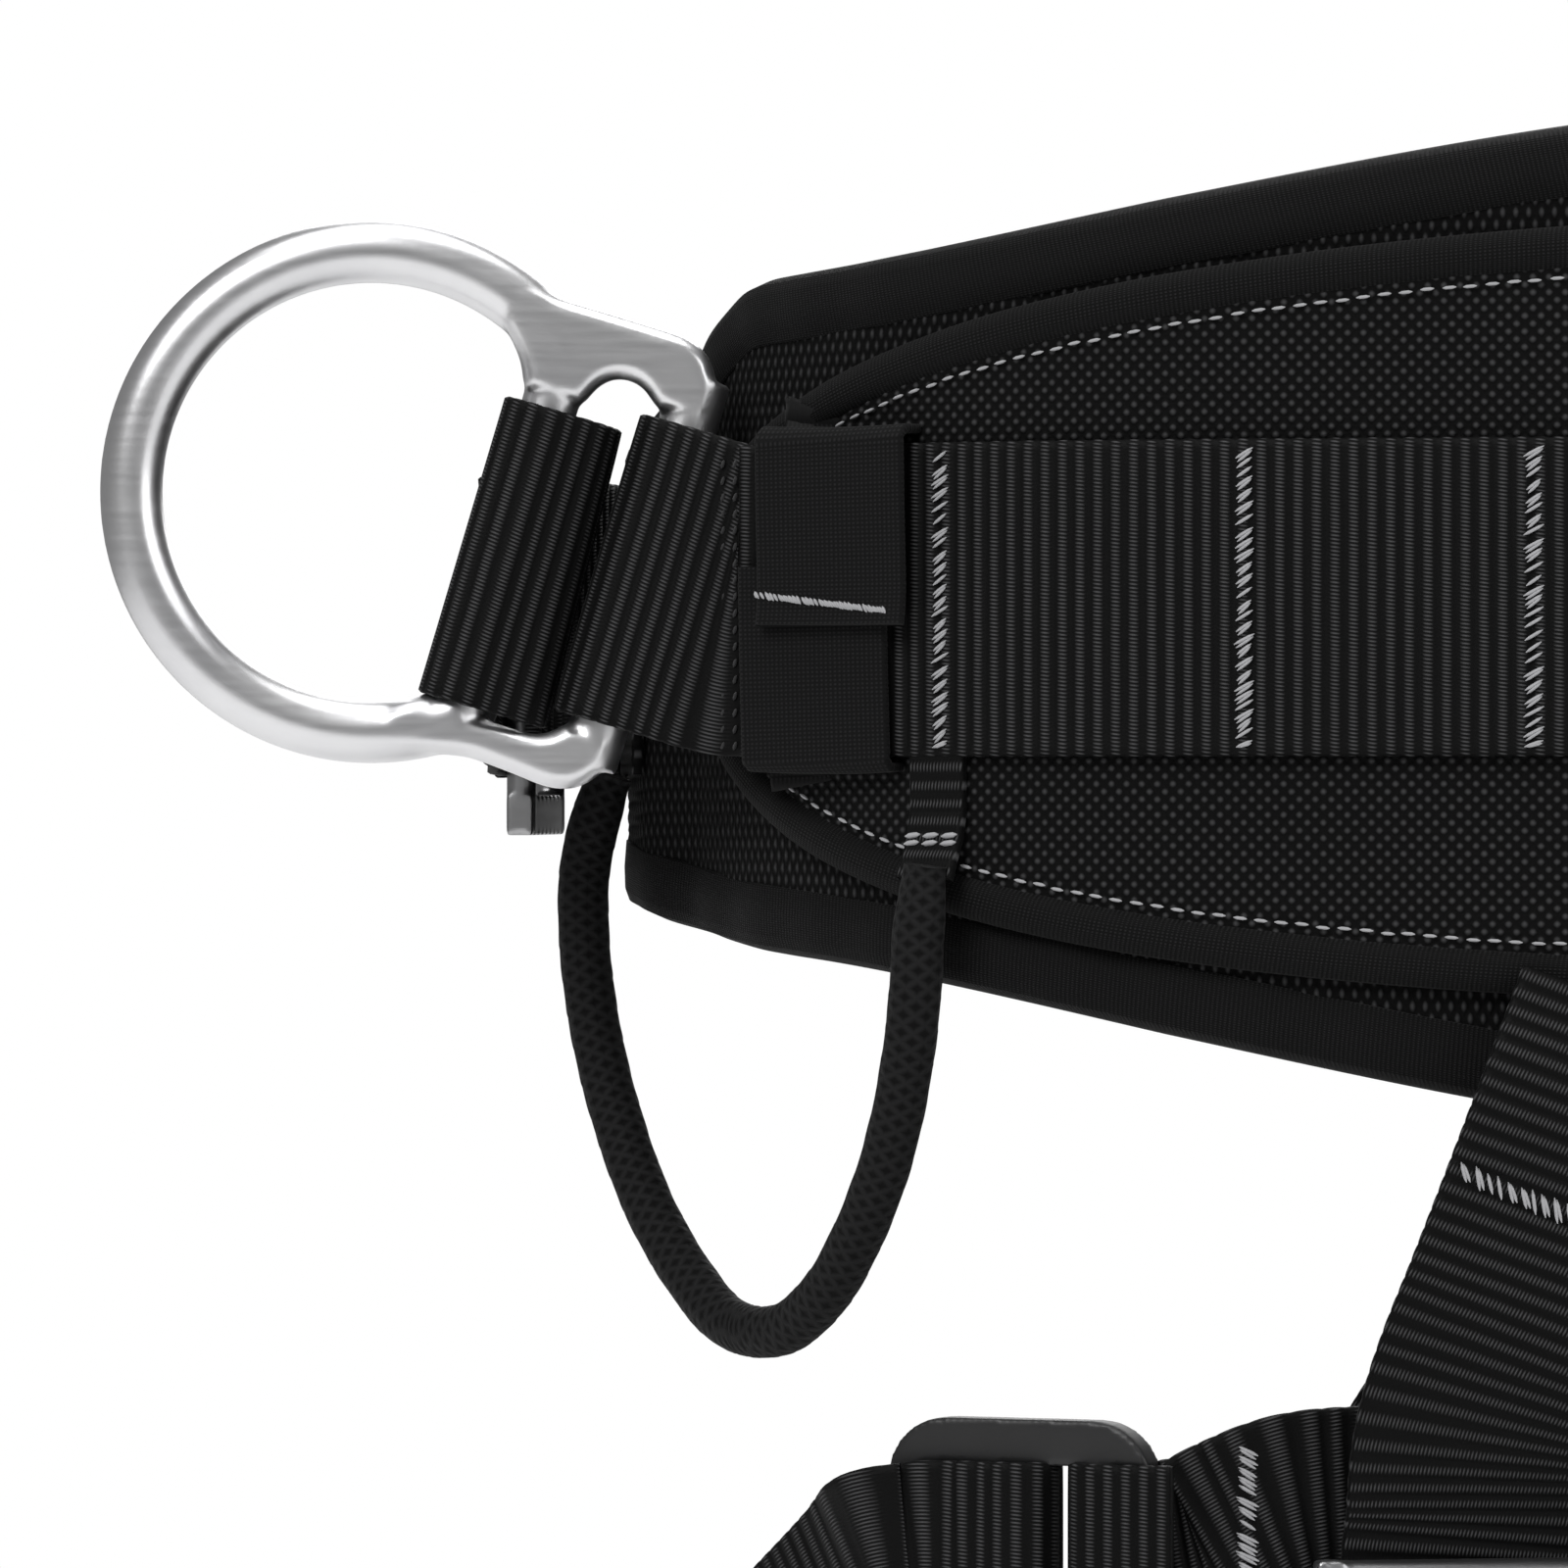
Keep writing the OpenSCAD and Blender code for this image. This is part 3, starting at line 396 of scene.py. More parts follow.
def wave_of(node, link, source, scale, turn, distortion):
    """Bands across the cloth's coordinates: scale is bands per millimetre, turn the bands' angle."""
    mapping = node("ShaderNodeMapping", in_Rotation=(0, 0, turn))
    link(source, mapping.inputs["Vector"])
    # A wave texture of scale 1 has a band every pi / 10 units, with a valley at 0
    wave = node("ShaderNodeTexWave", wave_type="BANDS", bands_direction="X", wave_profile="SIN",
                in_Scale=scale * math.pi / 10, in_Distortion=distortion)
    link(mapping.outputs["Vector"], wave.inputs["Vector"])
    return wave.outputs["Fac"]


def mix(node, link, op, a, b):
    m = node("ShaderNodeMath", operation=op)
    for i, x in enumerate((a, b)):
        if isinstance(x, (int, float)):
            m.inputs[i].default_value = x
        else:
            link(x, m.inputs[i])
    return m.outputs[0]


def noise_of(node, link, source, scale, detail, rough=0.5):
    noise = node("ShaderNodeTexNoise", in_Scale=scale, in_Detail=detail, in_Roughness=rough)
    link(source, noise.inputs["Vector"])
    return noise.outputs["Fac"]


def colour_by(node, link, shader, fac, low, high, ends=(0, 1)):
    """Base colour from low to high as fac goes between the ends."""
    ramp = node("ShaderNodeValToRGB")
    for stop, at, colour in zip(ramp.color_ramp.elements, ends, (low, high)):
        stop.position, stop.color = at, colour
    link(fac, ramp.inputs["Fac"])
    link(ramp.outputs["Color"], shader.inputs["Base Color"])


def bump_by(node, link, shader, height, strength, distance=0.0001):
    bumps = node("ShaderNodeBump", in_Strength=strength, in_Distance=distance)
    link(height, bumps.inputs["Height"])
    link(bumps.outputs["Normal"], shader.inputs["Normal"])


def cloth_material(name, slot, dark, light, bands, rough=0.75, bump=0.5, sheen=0.25, fibre=2.2, combine="MULTIPLY",
                   distance=0.0003, start=0.34):
    """Cloth whose weave is one or two sets of bands, given as (bands per mm, angle). Its colour holds painted light:
    from dark, painted shade in the bands' valleys, to light, a painted highlight on their crests; the fibre noise adds
    random tone.
    """
    mat, shader, node, link = new_material(name, slot)
    lay = node("ShaderNodeAttribute", attribute_name="lay").outputs["Vector"]
    fac = None
    for scale, turn in bands:
        w = wave_of(node, link, lay, scale, turn, 0.25)
        fac = w if fac is None else mix(node, link, combine, fac, w)
    fuzz = noise_of(node, link, lay, fibre, 5.0, 0.7)
    broad = noise_of(node, link, lay, 0.035, 3.0)
    height = mix(node, link, "ADD", fac, mix(node, link, "MULTIPLY", fuzz, 0.45))
    tone = mix(node, link, "MULTIPLY", fac, 0.8)
    tone = mix(node, link, "ADD", tone, mix(node, link, "MULTIPLY", fuzz, 0.18))
    tone = mix(node, link, "ADD", tone, mix(node, link, "MULTIPLY", broad, 0.12))
    # Painted highlight on the weave's crests and painted shade in its valleys, in step with the bump
    colour_by(node, link, shader, tone, dark, light, (start, 0.95))
    bump_by(node, link, shader, height, bump, distance)
    for socket, value in (("Roughness", rough), ("Sheen Weight", sheen), ("Sheen Roughness", 0.5), ("Specular IOR Level", 0.12)):
        shader.inputs[socket].default_value = value
    return mat


def grey(v):
    return (v, v, v * 1.03, 1)


def metal_material(name, slot, tone, rough):
    mat, shader, node, link = new_material(name, slot)
    coord = node("ShaderNodeTexCoord").outputs["Object"]
    stretch = node("ShaderNodeMapping", in_Scale=(60, 60, 900))
    link(coord, stretch.inputs["Vector"])
    wear = noise_of(node, link, stretch.outputs["Vector"], 1.0, 3.0)
    colour_by(node, link, shader, noise_of(node, link, coord, 55.0, 3.0),
              (tone * 0.86, tone * 0.86, tone * 0.88, 1), (tone, tone, tone * 1.01, 1), (0.3, 0.7))
    link(mix(node, link, "ADD", mix(node, link, "MULTIPLY", wear, 0.16), rough - 0.08), shader.inputs["Roughness"])
    bump_by(node, link, shader, noise_of(node, link, coord, 900.0, 4.0, 0.6), 0.12)
    shader.inputs["Metallic"].default_value = 1.0
    return mat


def plastic_material(name, slot, tone, rough):
    mat, shader, node, link = new_material(name, slot)
    coord = node("ShaderNodeTexCoord").outputs["Object"]
    grain = node("ShaderNodeTexVoronoi", in_Scale=1500.0)
    link(coord, grain.inputs["Vector"])
    cloud = noise_of(node, link, coord, 80.0, 4.0)
    colour_by(node, link, shader, cloud, grey(tone * 0.8), grey(tone * 1.25))
    link(mix(node, link, "ADD", mix(node, link, "MULTIPLY", cloud, 0.18), rough - 0.09), shader.inputs["Roughness"])
    bump_by(node, link, shader, grain.outputs["Distance"], 0.15)
    return mat


QUARTER = math.pi / 2
# For the cloths, the two greys run from painted shade in the weave's valleys to a painted highlight on its crests,
# about the cloth's own colour
MATS = {
    "webbing": cloth_material("ribbed webbing", "webbing", grey(0.0008), grey(0.070),
                              [(1 / RIB_PITCH, 0), (1 / 0.55, QUARTER * 0.93)], rough=0.6, bump=0.5, sheen=0.02, start=0.42),
    "binding": cloth_material("twill tape", "binding_tape", grey(0.0016), grey(0.017),
                              [(1.45, 0.1), (3.0, QUARTER)], rough=0.75, bump=0.5, sheen=0.04, fibre=3.0),
    "spacer": cloth_material("spacer mesh", "mesh_padding", grey(0.0006), grey(0.040),
                             [(0.611, 0.486), (0.611, -0.486)], rough=0.8, bump=0.6, sheen=0.02, distance=0.0005),
    "knit": cloth_material("diamond knit", "knit_panel", grey(0.0006), grey(0.050),
                           [(0.629, 0.808), (0.629, -0.808)], rough=0.75, bump=0.7, sheen=0.02, distance=0.0005),
    "elastic": cloth_material("fine elastic", "elastic", grey(0.004), grey(0.017),
                              [(1.6, 0), (1.3, QUARTER)], rough=0.85, bump=0.35, sheen=0.04, fibre=4.0),
    "cord": cloth_material("braided cord", "gear_cord", grey(0.001), grey(0.012),
                           [(0.5, 0.62), (0.5, -0.62)], rough=0.7, bump=0.6, sheen=0.03, combine="MAXIMUM"),
    "thread": cloth_material("white thread", "webbing", grey(0.40), grey(0.78), [(1.5, 0.6)], rough=0.7, bump=0.3, sheen=0.1),
    "dim_thread": cloth_material("grey thread", "webbing", grey(0.03), grey(0.12), [(1.5, 0.6)], rough=0.7, bump=0.3),
    "ring": metal_material("satin forged aluminium", "forged_ring", 0.84, 0.33),
    "pressed": metal_material("satin pressed metal", "pressed_metal", 0.42, 0.34),
    "plastic": plastic_material("black moulding", "black_plastic", 0.014, 0.42),
    "dark_bar": plastic_material("dark grip bar", "dark_bar", 0.03, 0.38),
}


# ---------------- camera, light and floor
def aim(obj, target):
    obj.rotation_euler = (Vector(target) - obj.location).to_track_quat("-Z", "Y").to_euler()


def studio():
    scene = bpy.context.scene
    cam = bpy.data.objects.new("camera", bpy.data.cameras.new("camera"))
    scene.collection.objects.link(cam)
    cam.data.sensor_width, cam.data.lens = 36, 252
    cam.data.clip_start, cam.data.clip_end = 0.05, 30
    target = (0.1671, 0.062, -0.0264)
    cam.location = (target[0], target[1] + 1.6, target[2])
    aim(cam, target)
    scene.camera = cam
    scene.view_settings.view_transform = "Standard"
    world = bpy.data.worlds.new("studio")
    scene.world = world
    world.use_nodes = True
    nt = world.node_tree
    back = nt.nodes["Background"]
    seen = nt.nodes.new("ShaderNodeBackground")
    seen.inputs["Color"].default_value = (1, 1, 1, 1)
    back.inputs["Color"].default_value, back.inputs["Strength"].default_value = (1, 1, 1, 1), 0.2
    path, choose = nt.nodes.new("ShaderNodeLightPath"), nt.nodes.new("ShaderNodeMixShader")
    nt.links.new(path.outputs["Is Camera Ray"], choose.inputs["Fac"])
    nt.links.new(back.outputs[0], choose.inputs[1])
    nt.links.new(seen.outputs[0], choose.inputs[2])
    nt.links.new(choose.outputs[0], nt.nodes["World Output"].inputs["Surface"])
    for name, place, size, power in (
        ("key", (0.9, 1.2, 1.1), 0.9, 18), ("fill", (-1.3, 0.9, 0.5), 1.2, 10),
        ("front", (-0.2, -1.6, 0.8), 1.4, 14), ("top", (0.1, 0.1, 1.5), 1.2, 12),
    ):
        lamp = bpy.data.objects.new(name, bpy.data.lights.new(name, "AREA"))
        lamp.data.size, lamp.data.energy = size, power
        lamp.location = place
        aim(lamp, (0.0, 0.0, -0.05))
        scene.collection.objects.link(lamp)
    mat = bpy.data.materials.new("pale floor")
    mat.use_nodes = True
    nt = mat.node_tree
    tone, noise = nt.nodes.new("ShaderNodeValToRGB"), nt.nodes.new("ShaderNodeTexNoise")
    noise.inputs["Scale"].default_value = 14
    tone.color_ramp.elements[0].color, tone.color_ramp.elements[1].color = (0.86, 0.86, 0.86, 1), (0.9, 0.9, 0.9, 1)
    nt.links.new(noise.outputs["Fac"], tone.inputs["Fac"])
    nt.links.new(tone.outputs["Color"], nt.nodes["Principled BSDF"].inputs["Base Color"])
    nt.nodes["Principled BSDF"].inputs["Roughness"].default_value = 0.9
    floor = bpy.data.objects.new("floor", bpy.data.meshes.new("floor"))
    e, z = 1.0, CAD_BOX[0].z - 0.04
    floor.data.from_pydata([(-e, -e, z), (e, -e, z), (e, e, z), (-e, e, z)], [], [(0, 1, 2, 3)])
    floor.data.materials.append(mat)
    scene.collection.objects.link(floor)


# ---------------- gear loops
def gear_loop(side, sign):
    """Braided cord of real length: the strands are in the mesh, and the weave in its material."""
    path, at = smooth_path(mirror(GEAR_ROUTE + [GEAR_END], sign), 0.7)
    t = unit(np.gradient(path, axis=0))
    side_v = unit(np.cross(t, np.cross(mirror(GEAR_PLANE, sign), t)))
    sides, strands, twist = 36, 7, 0.62
    ang = np.linspace(0, 2 * np.pi, sides, endpoint=False)
    a, b = ang * strands + at[:, None] * twist, ang * strands - at[:, None] * twist
    braid = np.maximum(np.cos(a) * (np.sin(b) > 0), np.cos(b) * (np.sin(b) <= 0))
    gather = 1 - 0.18 * ease(1 - at / 9)[:, None] - 0.12 * ease((at - at[-1] + 8) / 8)[:, None]
    r = CORD_D / 2 * gather + 0.09 * braid
    flat = 1 + 0.16 * ease(1 - at / 14)[:, None] * np.cos(2 * ang)
    rings = path[:, None] + (r * flat)[..., None] * circle(sides, side_v, np.cross(t, side_v))
    lay = np.stack(np.broadcast_arrays(at[:, None], ang * CORD_D / 2), -1)
    obj = tube_mesh(f"{side}_gear_cord", rings, MATS["cord"], lay, body=f"{side}_gear_loop", replaces=[f"{side}_gear_loop"])


# ---------------- pads and their edges
def pad_surface(rows_s, span, place, n_out, n_in, inset, cols, relief, crown, scale=1.0):
    """Closed pad: an outer and an inner face over rows of stations, joined along their edges."""
    low, high = span
    mid, half = (low + high) / 2, np.maximum(0.5, (high - low) / 2 - inset)
    v = np.linspace(-1, 1, cols) if np.isscalar(cols) else cols
    z = mid[:, None] + half[:, None] * v
    s = np.repeat(rows_s[:, None], len(v), 1)
    dist = np.clip(half[:, None] * (1 - np.abs(v)), 0, 8) / 8
    puff = np.sqrt(np.clip(1 - (1 - dist) ** 2, 0, 1))
    depth = (n_out - n_in) / 2
    outer = n_out - depth * 0.42 * (1 - puff) + crown * puff + relief(s * scale, z) * puff
    inner = n_in + depth * 0.42 * (1 - puff) - crown * puff - relief(s * scale, z) * puff * 0.6
    # The face that lies on the wearer needs fewer points
    few = np.unique(np.concatenate([np.arange(0, len(v), 5), [1, len(v) - 2, len(v) - 1]]))[::-1]
    rings = np.concatenate([place(s, outer, z), place(s, inner, z)[:, few]], 1)
    lay = np.stack([np.concatenate([s, s[:, few]], 1) * scale, np.concatenate([z, z[:, few]], 1)], -1)
    return rings, lay


def diamonds(s, z, width, height, depth):
    """Relief of small raised diamonds in staggered rows, width by height apart."""
    a, b = -np.cos(2 * np.pi * (s / width + z / height)), -np.cos(2 * np.pi * (s / width - z / height))
    return depth * np.minimum(a, b)


def spacer_relief(s, z):
    return diamonds(s, z, 1.85, 3.5, 0.14)


def knit_relief(s, z):
    return diamonds(s, z, 2.3, 2.2, 0.12)


def resample_closed(outline, step):
    p = np.concatenate([outline, outline[:1]])
    length = np.concatenate([[0], np.cumsum(np.linalg.norm(np.diff(p, axis=0), axis=1))])
    at = np.arange(0, length[-1], length[-1] / round(length[-1] / step))
    return np.stack([np.interp(at, length, p[:, k]) for k in range(2)], -1), at


def inward_of(outline):
    d = unit(np.roll(outline, -3, 0) - np.roll(outline, 3, 0))
    return np.stack([d[:, 1], -d[:, 0]], -1)


def smooth_closed(values, times):
    for _ in range(times):
        values = (np.roll(values, 1, 0) + 2 * values + np.roll(values, -1, 0)) / 4
    return values


def rim(outline, times, inward_times):
    """An outline with even steps and softened corners, the direction inwards at each point, and how far round it is."""
    outline, at = resample_closed(outline, 1.6)
    outline = smooth_closed(outline, times)
    return outline, smooth_closed(inward_of(outline), inward_times), at


def inset(outline, inward, x):
    """Rings of points that stand x inside each point of an outline."""
    return outline[:, None] + inward[:, None] * np.broadcast_to(x, (len(outline), len(x)))[..., None]


def edge_tape(name, outline, place, n_out, n_in, w, body, node, scale=1.0):
    """Tape folded over a pad's edge. outline runs clockwise in (s, z); scale is mm per unit of s."""
    real, inward, at = rim(outline * np.array([scale, 1]), 6, 8)
    mid, h = (n_out + n_in) / 2, (n_out - n_in) / 2
    # Section: over the outer face, round the edge, and back over the inner face, then inside
    x = np.array([w, w * 0.97, w * 0.6, w * 0.3, 1.6, 0.45, 0.0])
    y = np.array([h + 0.15, h + 0.85, h + 1.15, h + 1.05, h + 0.5, h * 0.55, 0])
    x = np.concatenate([x, x[-2::-1], [w * 0.6, 2.6, 1.2, 2.6, w * 0.6]])
    y = np.concatenate([y, -y[-2::-1], [-h - 0.1, -h + 0.4, 0, h - 0.4, h + 0.1]])
    pucker = 1 + 0.05 * np.sin(at / 3.1) * np.sin(at / 11.0)
    q = inset(real, inward, x)
    n = mid + y * pucker[:, None]
    rings = place(q[..., 0] / scale, n, q[..., 1])
    girth = np.concatenate([[0], np.cumsum(np.hypot(np.diff(x), np.diff(y)))])
    lay = np.stack(np.broadcast_arrays(at[:, None], girth), -1)
    return tube_mesh(name, rings[::-1], MATS["binding"], lay[::-1], closed=True, body=body, replaces=[node])


def clockwise_outline(s, low, high):
    return np.concatenate([np.stack([s, high], -1), np.stack([s, low], -1)[::-1]])


def end_spaced(half, end, step, n_end=26):
    """Stations that come closer together round a rounded end."""
    mid = np.arange(-(half - end), half - end + step / 2, step)
    a = np.radians(np.linspace(4, 89, n_end))
    tip = (half - end) + end * np.sin(a)
    return np.concatenate([-tip[::-1], mid, tip])


def waist_pad():
    half = PAD_LEN - 3
    stations = end_spaced(half, PAD_END, 0.6)
    tip = stations[stations > 205]
    dense, sparse = np.linspace(0.66, 1, 34), np.linspace(-0.6, 0.6, 12)
    for name, s, cols in (
        ("waist_padding", np.linspace(-tip[0], tip[0], 680), np.concatenate([-dense[::-1], sparse, dense])),
        ("left_front_padding", tip, 150), ("right_front_padding", -tip[::-1], 150),
    ):
        rings, lay = pad_surface(s, pad_span(s * PAD_LEN / half), pad_place, PAD_OUT, PAD_IN, 3.0, cols, spacer_relief, 0.5)
        pad = tube_mesh(name, rings, MATS["spacer"], lay, body="belt", replaces=["waist_pad"])
    s = end_spaced(PAD_LEN, PAD_END, 2.0)
    outline = clockwise_outline(s, *pad_span(s))
    edge_tape("waist_edge_tape", outline, pad_place, PAD_OUT, PAD_IN, 10.5, "belt", "waist_pad_binding")


def lumbar_panel():
    half = PANEL_HALF - 3.5
    a = np.radians(np.linspace(60, 88, 26))
    tip = half * np.sin(a)
    mid = np.arange(-tip[0] + 0.8, tip[0] - 0.4, 0.8)
    s = np.concatenate([-tip[::-1], mid, tip])
    dense = np.linspace(0.36, 1, 56)
    cols = np.concatenate([-dense[::-1], np.linspace(-0.3, 0.3, 7), dense])
    low, high = panel_span(s * PANEL_HALF / half)
    rings, lay = pad_surface(s, (low + 3, high - 3), waist, PANEL_OUT - 0.2, PAD_OUT + 0.3, 0, cols, knit_relief, 0.2)
    panel = tube_mesh("lumbar_padding", rings, MATS["knit"], lay, body="belt", replaces=["lumbar_panel"])
    # Rolled tape round the panel's rim, and the dashed line sewn through it
    a = np.linspace(-np.pi / 2, np.pi / 2, 400)
    s = PANEL_HALF * np.sin(a)
    outline, inward, at = rim(clockwise_outline(s, *panel_span(s)), 10, 12)
    ang = np.linspace(0, 2 * np.pi, 14, endpoint=False)
    x = 3.1 - 3.1 * np.sign(np.cos(ang)) * np.abs(np.cos(ang)) ** 0.75
    y = -3.3 + 2.05 * np.sin(ang)
    wobble = 1 + 0.03 * np.sin(at / 4.3)
    q = inset(outline, inward, x)
    rings = waist(q[..., 0], y * wobble[:, None], q[..., 1])
    lay = np.stack(np.broadcast_arrays(at[:, None], ang * 3), -1)
    tube_mesh("lumbar_edge_tape", rings[::-1], MATS["binding"], lay[::-1], closed=True, body="belt",
              replaces=["lumbar_panel_binding"])

    def place(u):
        k = u / at[1]
        i, f = int(k) % len(at), k - int(k)
        j = (i + 1) % len(at)
        p = (outline[i] + 7.4 * inward[i]) * (1 - f) + (outline[j] + 7.4 * inward[j]) * f
        return waist(p[0], -1.75, p[1])

    stitches("lumbar_stitches", place, at[-1], "belt", pitch=3.1, dash=2.0, r=0.25, jitter=0.12)


# ---------------- belt webbing
EXIT_A = math.radians(33)
EXIT_S = LEN_BACK + HIP_R * (EXIT_A - BACK_A)
TAB_DIR = np.array([math.cos(EXIT_A), -math.sin(EXIT_A), 0])
TAB_OUT = np.array([math.sin(EXIT_A), math.cos(EXIT_A), 0])
TAB_START = waist(EXIT_S, 0, 0)
TAB_LEN, BAR_Z, SEAM_AT, TAIL_AT, TAIL_IN = 53.4, 4.4, 37.0, 24.0, 3.4
TACKS_AT, REAR_TAB, FRONT_TAB = (149.3, 103, 61.8, 17.5), 150.5, 231.5
BAR_C = TAB_START + TAB_LEN * TAB_DIR - 2 * TAB_OUT + [0, 0, BAR_Z]
RING_U = np.array([math.cos(RING_TILT), 0, math.sin(RING_TILT)])
RING_V = np.array([-math.sin(RING_TILT), 0, math.cos(RING_TILT)])
UP = np.array([0, 0, 1.0])


def fan(u):
    u = float(ease(u))
    return unit((1 - u) * UP + u * RING_V)


def belt_half():
    """Points and directions across the belt, from the middle of the back to the sewn tail."""
    path = [(waist(s, -1, 0), UP) for s in np.linspace(0, EXIT_S, 16)]
    for x in (12, 24, SEAM_AT - 3):
        path.append((TAB_START + x * TAB_DIR - TAB_OUT, UP))
    out = unit(np.cross(RING_V, np.cross(TAB_OUT, RING_V)))
    along = unit(np.cross(out, RING_V))
    centre = BAR_C + BELT_SHIFT * RING_V
    first = TAB_START + SEAM_AT * TAB_DIR - TAB_OUT
    last = TAB_START + SEAM_AT * TAB_DIR - TAIL_IN * TAB_OUT
    r = BASE_BAR + 0.5 + WEB_T / 2
    turn = [centre + r * (math.sin(a) * out + math.cos(a) * along) for a in np.radians(np.arange(106, -107, -21.2))]
    path += [(first * 0.94 + turn[0] * 0.06, fan(0.1)), (first * 0.5 + turn[0] * 0.5, fan(0.5))]
    path += [(p, RING_V) for p in turn]
    path += [(last * 0.5 + turn[-1] * 0.5, fan(0.5)), (last * 0.94 + turn[-1] * 0.06, fan(0.1))]
    path += [(TAB_START + x * TAB_DIR - TAIL_IN * TAB_OUT, UP) for x in (SEAM_AT - 3, 29, TAIL_AT)]
    return path


def on_belt(s, z, n):
    """A point on the belt's outer face, on the pad or on the straight tab beyond it."""
    if abs(s) <= EXIT_S:
        return waist(s, n, z)
    p = TAB_START + (abs(s) - EXIT_S) * TAB_DIR + n * TAB_OUT + [0, 0, z]
    return mirror(p, 1 if s > 0 else -1)


def waist_belt():
    half = belt_half()
    flip = [(mirror(p, -1), mirror(a, -1)) for p, a in half[:0:-1]]
    strap("belt_webbing", *zip(*flip, *half), "belt", ["waist_webbing"])
    places = [(lambda u, v, s=s, sign=sign: on_belt(sign * (s + v), 21.2 - u, 0.25), 10 + k)
              for k, s in enumerate(TACKS_AT) for sign in (1, -1)]
    bar_tacks("belt_bar_tacks", places, 42.4, "belt", width=2.7, pitch=1.7, r=0.25)
    seams = [capsule(on_belt(sign * s, 20.5 - k * 2.4, 0.1), on_belt(sign * (s + 0.5), 19.3 - k * 2.4, 0.1), 0.28)
             for sign in (1, -1) for s in (EXIT_S + 36.0, EXIT_S + 38.1) for k in range(18)]
    join("belt_end_seams", seams, MATS["dim_thread"], body="belt")


def keeper(side, sign):
    """Elastic tape round the belt: its upper end hangs in front of its lower half and is sewn down."""
    half_h, half_t, corner = 24.3, 3.45, 2.0
    loop = [(half_t, 5.0), (half_t, 0.0), (half_t, -8.0), (half_t, -15.0)]
    for y, z, a in ((half_t - corner, -half_h + corner, 0), (-half_t + corner, -half_h + corner, -90),
                    (-half_t + corner, half_h - corner, 180), (half_t + 1.3 - corner, half_h - corner, 90)):
        loop += arc(lambda y, z: (y, z), y, z, corner, a, a - 90, 18)
    loop += [(half_t + 1.45, 14.0), (half_t + 1.4, 7.0), (half_t + 1.35, 2.0), (half_t + 1.6, -1.5), (half_t + 2.0, -3.6)]
    base = TAB_START + 20.0 * TAB_DIR - 2.1 * TAB_OUT
    dense, at = smooth_path([(0, y, z) for y, z in loop], 1.0)
    shift = 2.2 * np.cos(np.pi * at / at[-1])[:, None] * TAB_DIR
    centre = base + shift + dense[:, 1:2] * TAB_OUT + dense[:, 2:3] * UP
    strap(f"{side}_belt_keeper", centre, TAB_DIR, "belt", [f"{side}_keeper"], sign, w=25.0, wave=0.35, **ELASTIC)
    place = lambda u, v: mirror(base + (-12.0 + u) * TAB_DIR + (half_t + 2.35) * TAB_OUT + [0, 0, -1.6 + v + 0.11 * u], sign)
    bar_tacks(f"{side}_keeper_tack", [(place, 5)], 22.5, "belt", width=1.1, pitch=0.8, r=0.24)


def gear_tabs(side, sign):
    """Flat tapes that hold the gear cord's ends: the rear one comes from under the belt."""
    rear = [waist(REAR_TAB, n, z) for n, z in ((-1.2, -20), (-1.2, -25), (-1.2, -30), (-0.4, -34), (1.2, -37.5), (2.2, -40))]
    tape = {"t": 1.8, "pitch": 1.5, "relief": 0.15}
    strap(f"{side}_rear_tab", rear, TAB_DIR, "belt", [f"{side}_gear_loop_tabs"], sign, w=9.0, **tape)
    front = [pad_place(FRONT_TAB, -3.6, z) for z in (-10, -15, -20, -25)]
    strap(f"{side}_front_tab", front, waist(236, 0, 0) - waist(227, 0, 0), "belt", (), sign, w=10.0, **tape)
    tacks = [capsule(mirror(waist(x - 1.3, n, z), sign), mirror(waist(x + 1.3, n, z - 0.3), sign), 0.42)
             for x in (REAR_TAB - 3.1, REAR_TAB, REAR_TAB + 3.1) for z, n in ((-33.6, 0.8), (-34.7, 1.1))]
    join(f"{side}_tab_tacks", tacks, MATS["thread"], body="belt")


# ---------------- hardware
def hardware(name, solids, material, body, replaces, voxel=0.55, passes=6):
    """Joins closed shapes into one casting: remeshed together, then smoothed so that edges round off."""
    bm = bmesh.new()
    for mesh in solids:
        bm.from_mesh(mesh)
    bmesh.ops.remove_doubles(bm, verts=bm.verts, dist=1e-6)
    joined = bpy.data.meshes.new(name)
    bm.to_mesh(joined)
    bm.free()
    obj = bpy.data.objects.new(name, joined)
    bpy.context.scene.collection.objects.link(obj)
    cast = obj.modifiers.new("cast", "REMESH")
    cast.mode, cast.voxel_size, cast.use_smooth_shade = "VOXEL", voxel * MM, True
    soft = obj.modifiers.new("soft", "SMOOTH")
    soft.factor, soft.iterations = 0.5, passes
    depsgraph = bpy.context.evaluated_depsgraph_get()
    final = bpy.data.meshes.new_from_object(obj.evaluated_get(depsgraph))
    obj.modifiers.clear()
    obj.data = final
    final.shade_smooth()
    final.materials.clear()
    final.materials.append(material)
    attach(obj, body)
    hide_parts(*replaces)


def raw_mesh(verts, faces, triangles=False):
    """A closed mesh in metres, from points in millimetres, that faces outwards."""
    mesh = bpy.data.meshes.new("part")
    mesh.from_pydata((np.asarray(verts) * MM).tolist(), [], faces)
    bm = bmesh.new()
    bm.from_mesh(mesh)
    if triangles:
        bmesh.ops.triangulate(bm, faces=bm.faces)
    bmesh.ops.recalc_face_normals(bm, faces=bm.faces)
    bm.to_mesh(mesh)
    bm.free()
    return mesh


def rod(points, r, sides=28):
    """A round rod along points."""
    p = np.asarray(points, float)
    t = unit(np.gradient(p, axis=0))
    s = unit(np.cross(t, [0.0, 1.0, 0.0] if abs(t[0][1]) < 0.9 else [1.0, 0.0, 0.0]))
    return raw_mesh((p[:, None] + r * circle(sides, s, np.cross(t, s))).reshape(-1, 3), capped(len(p), sides))


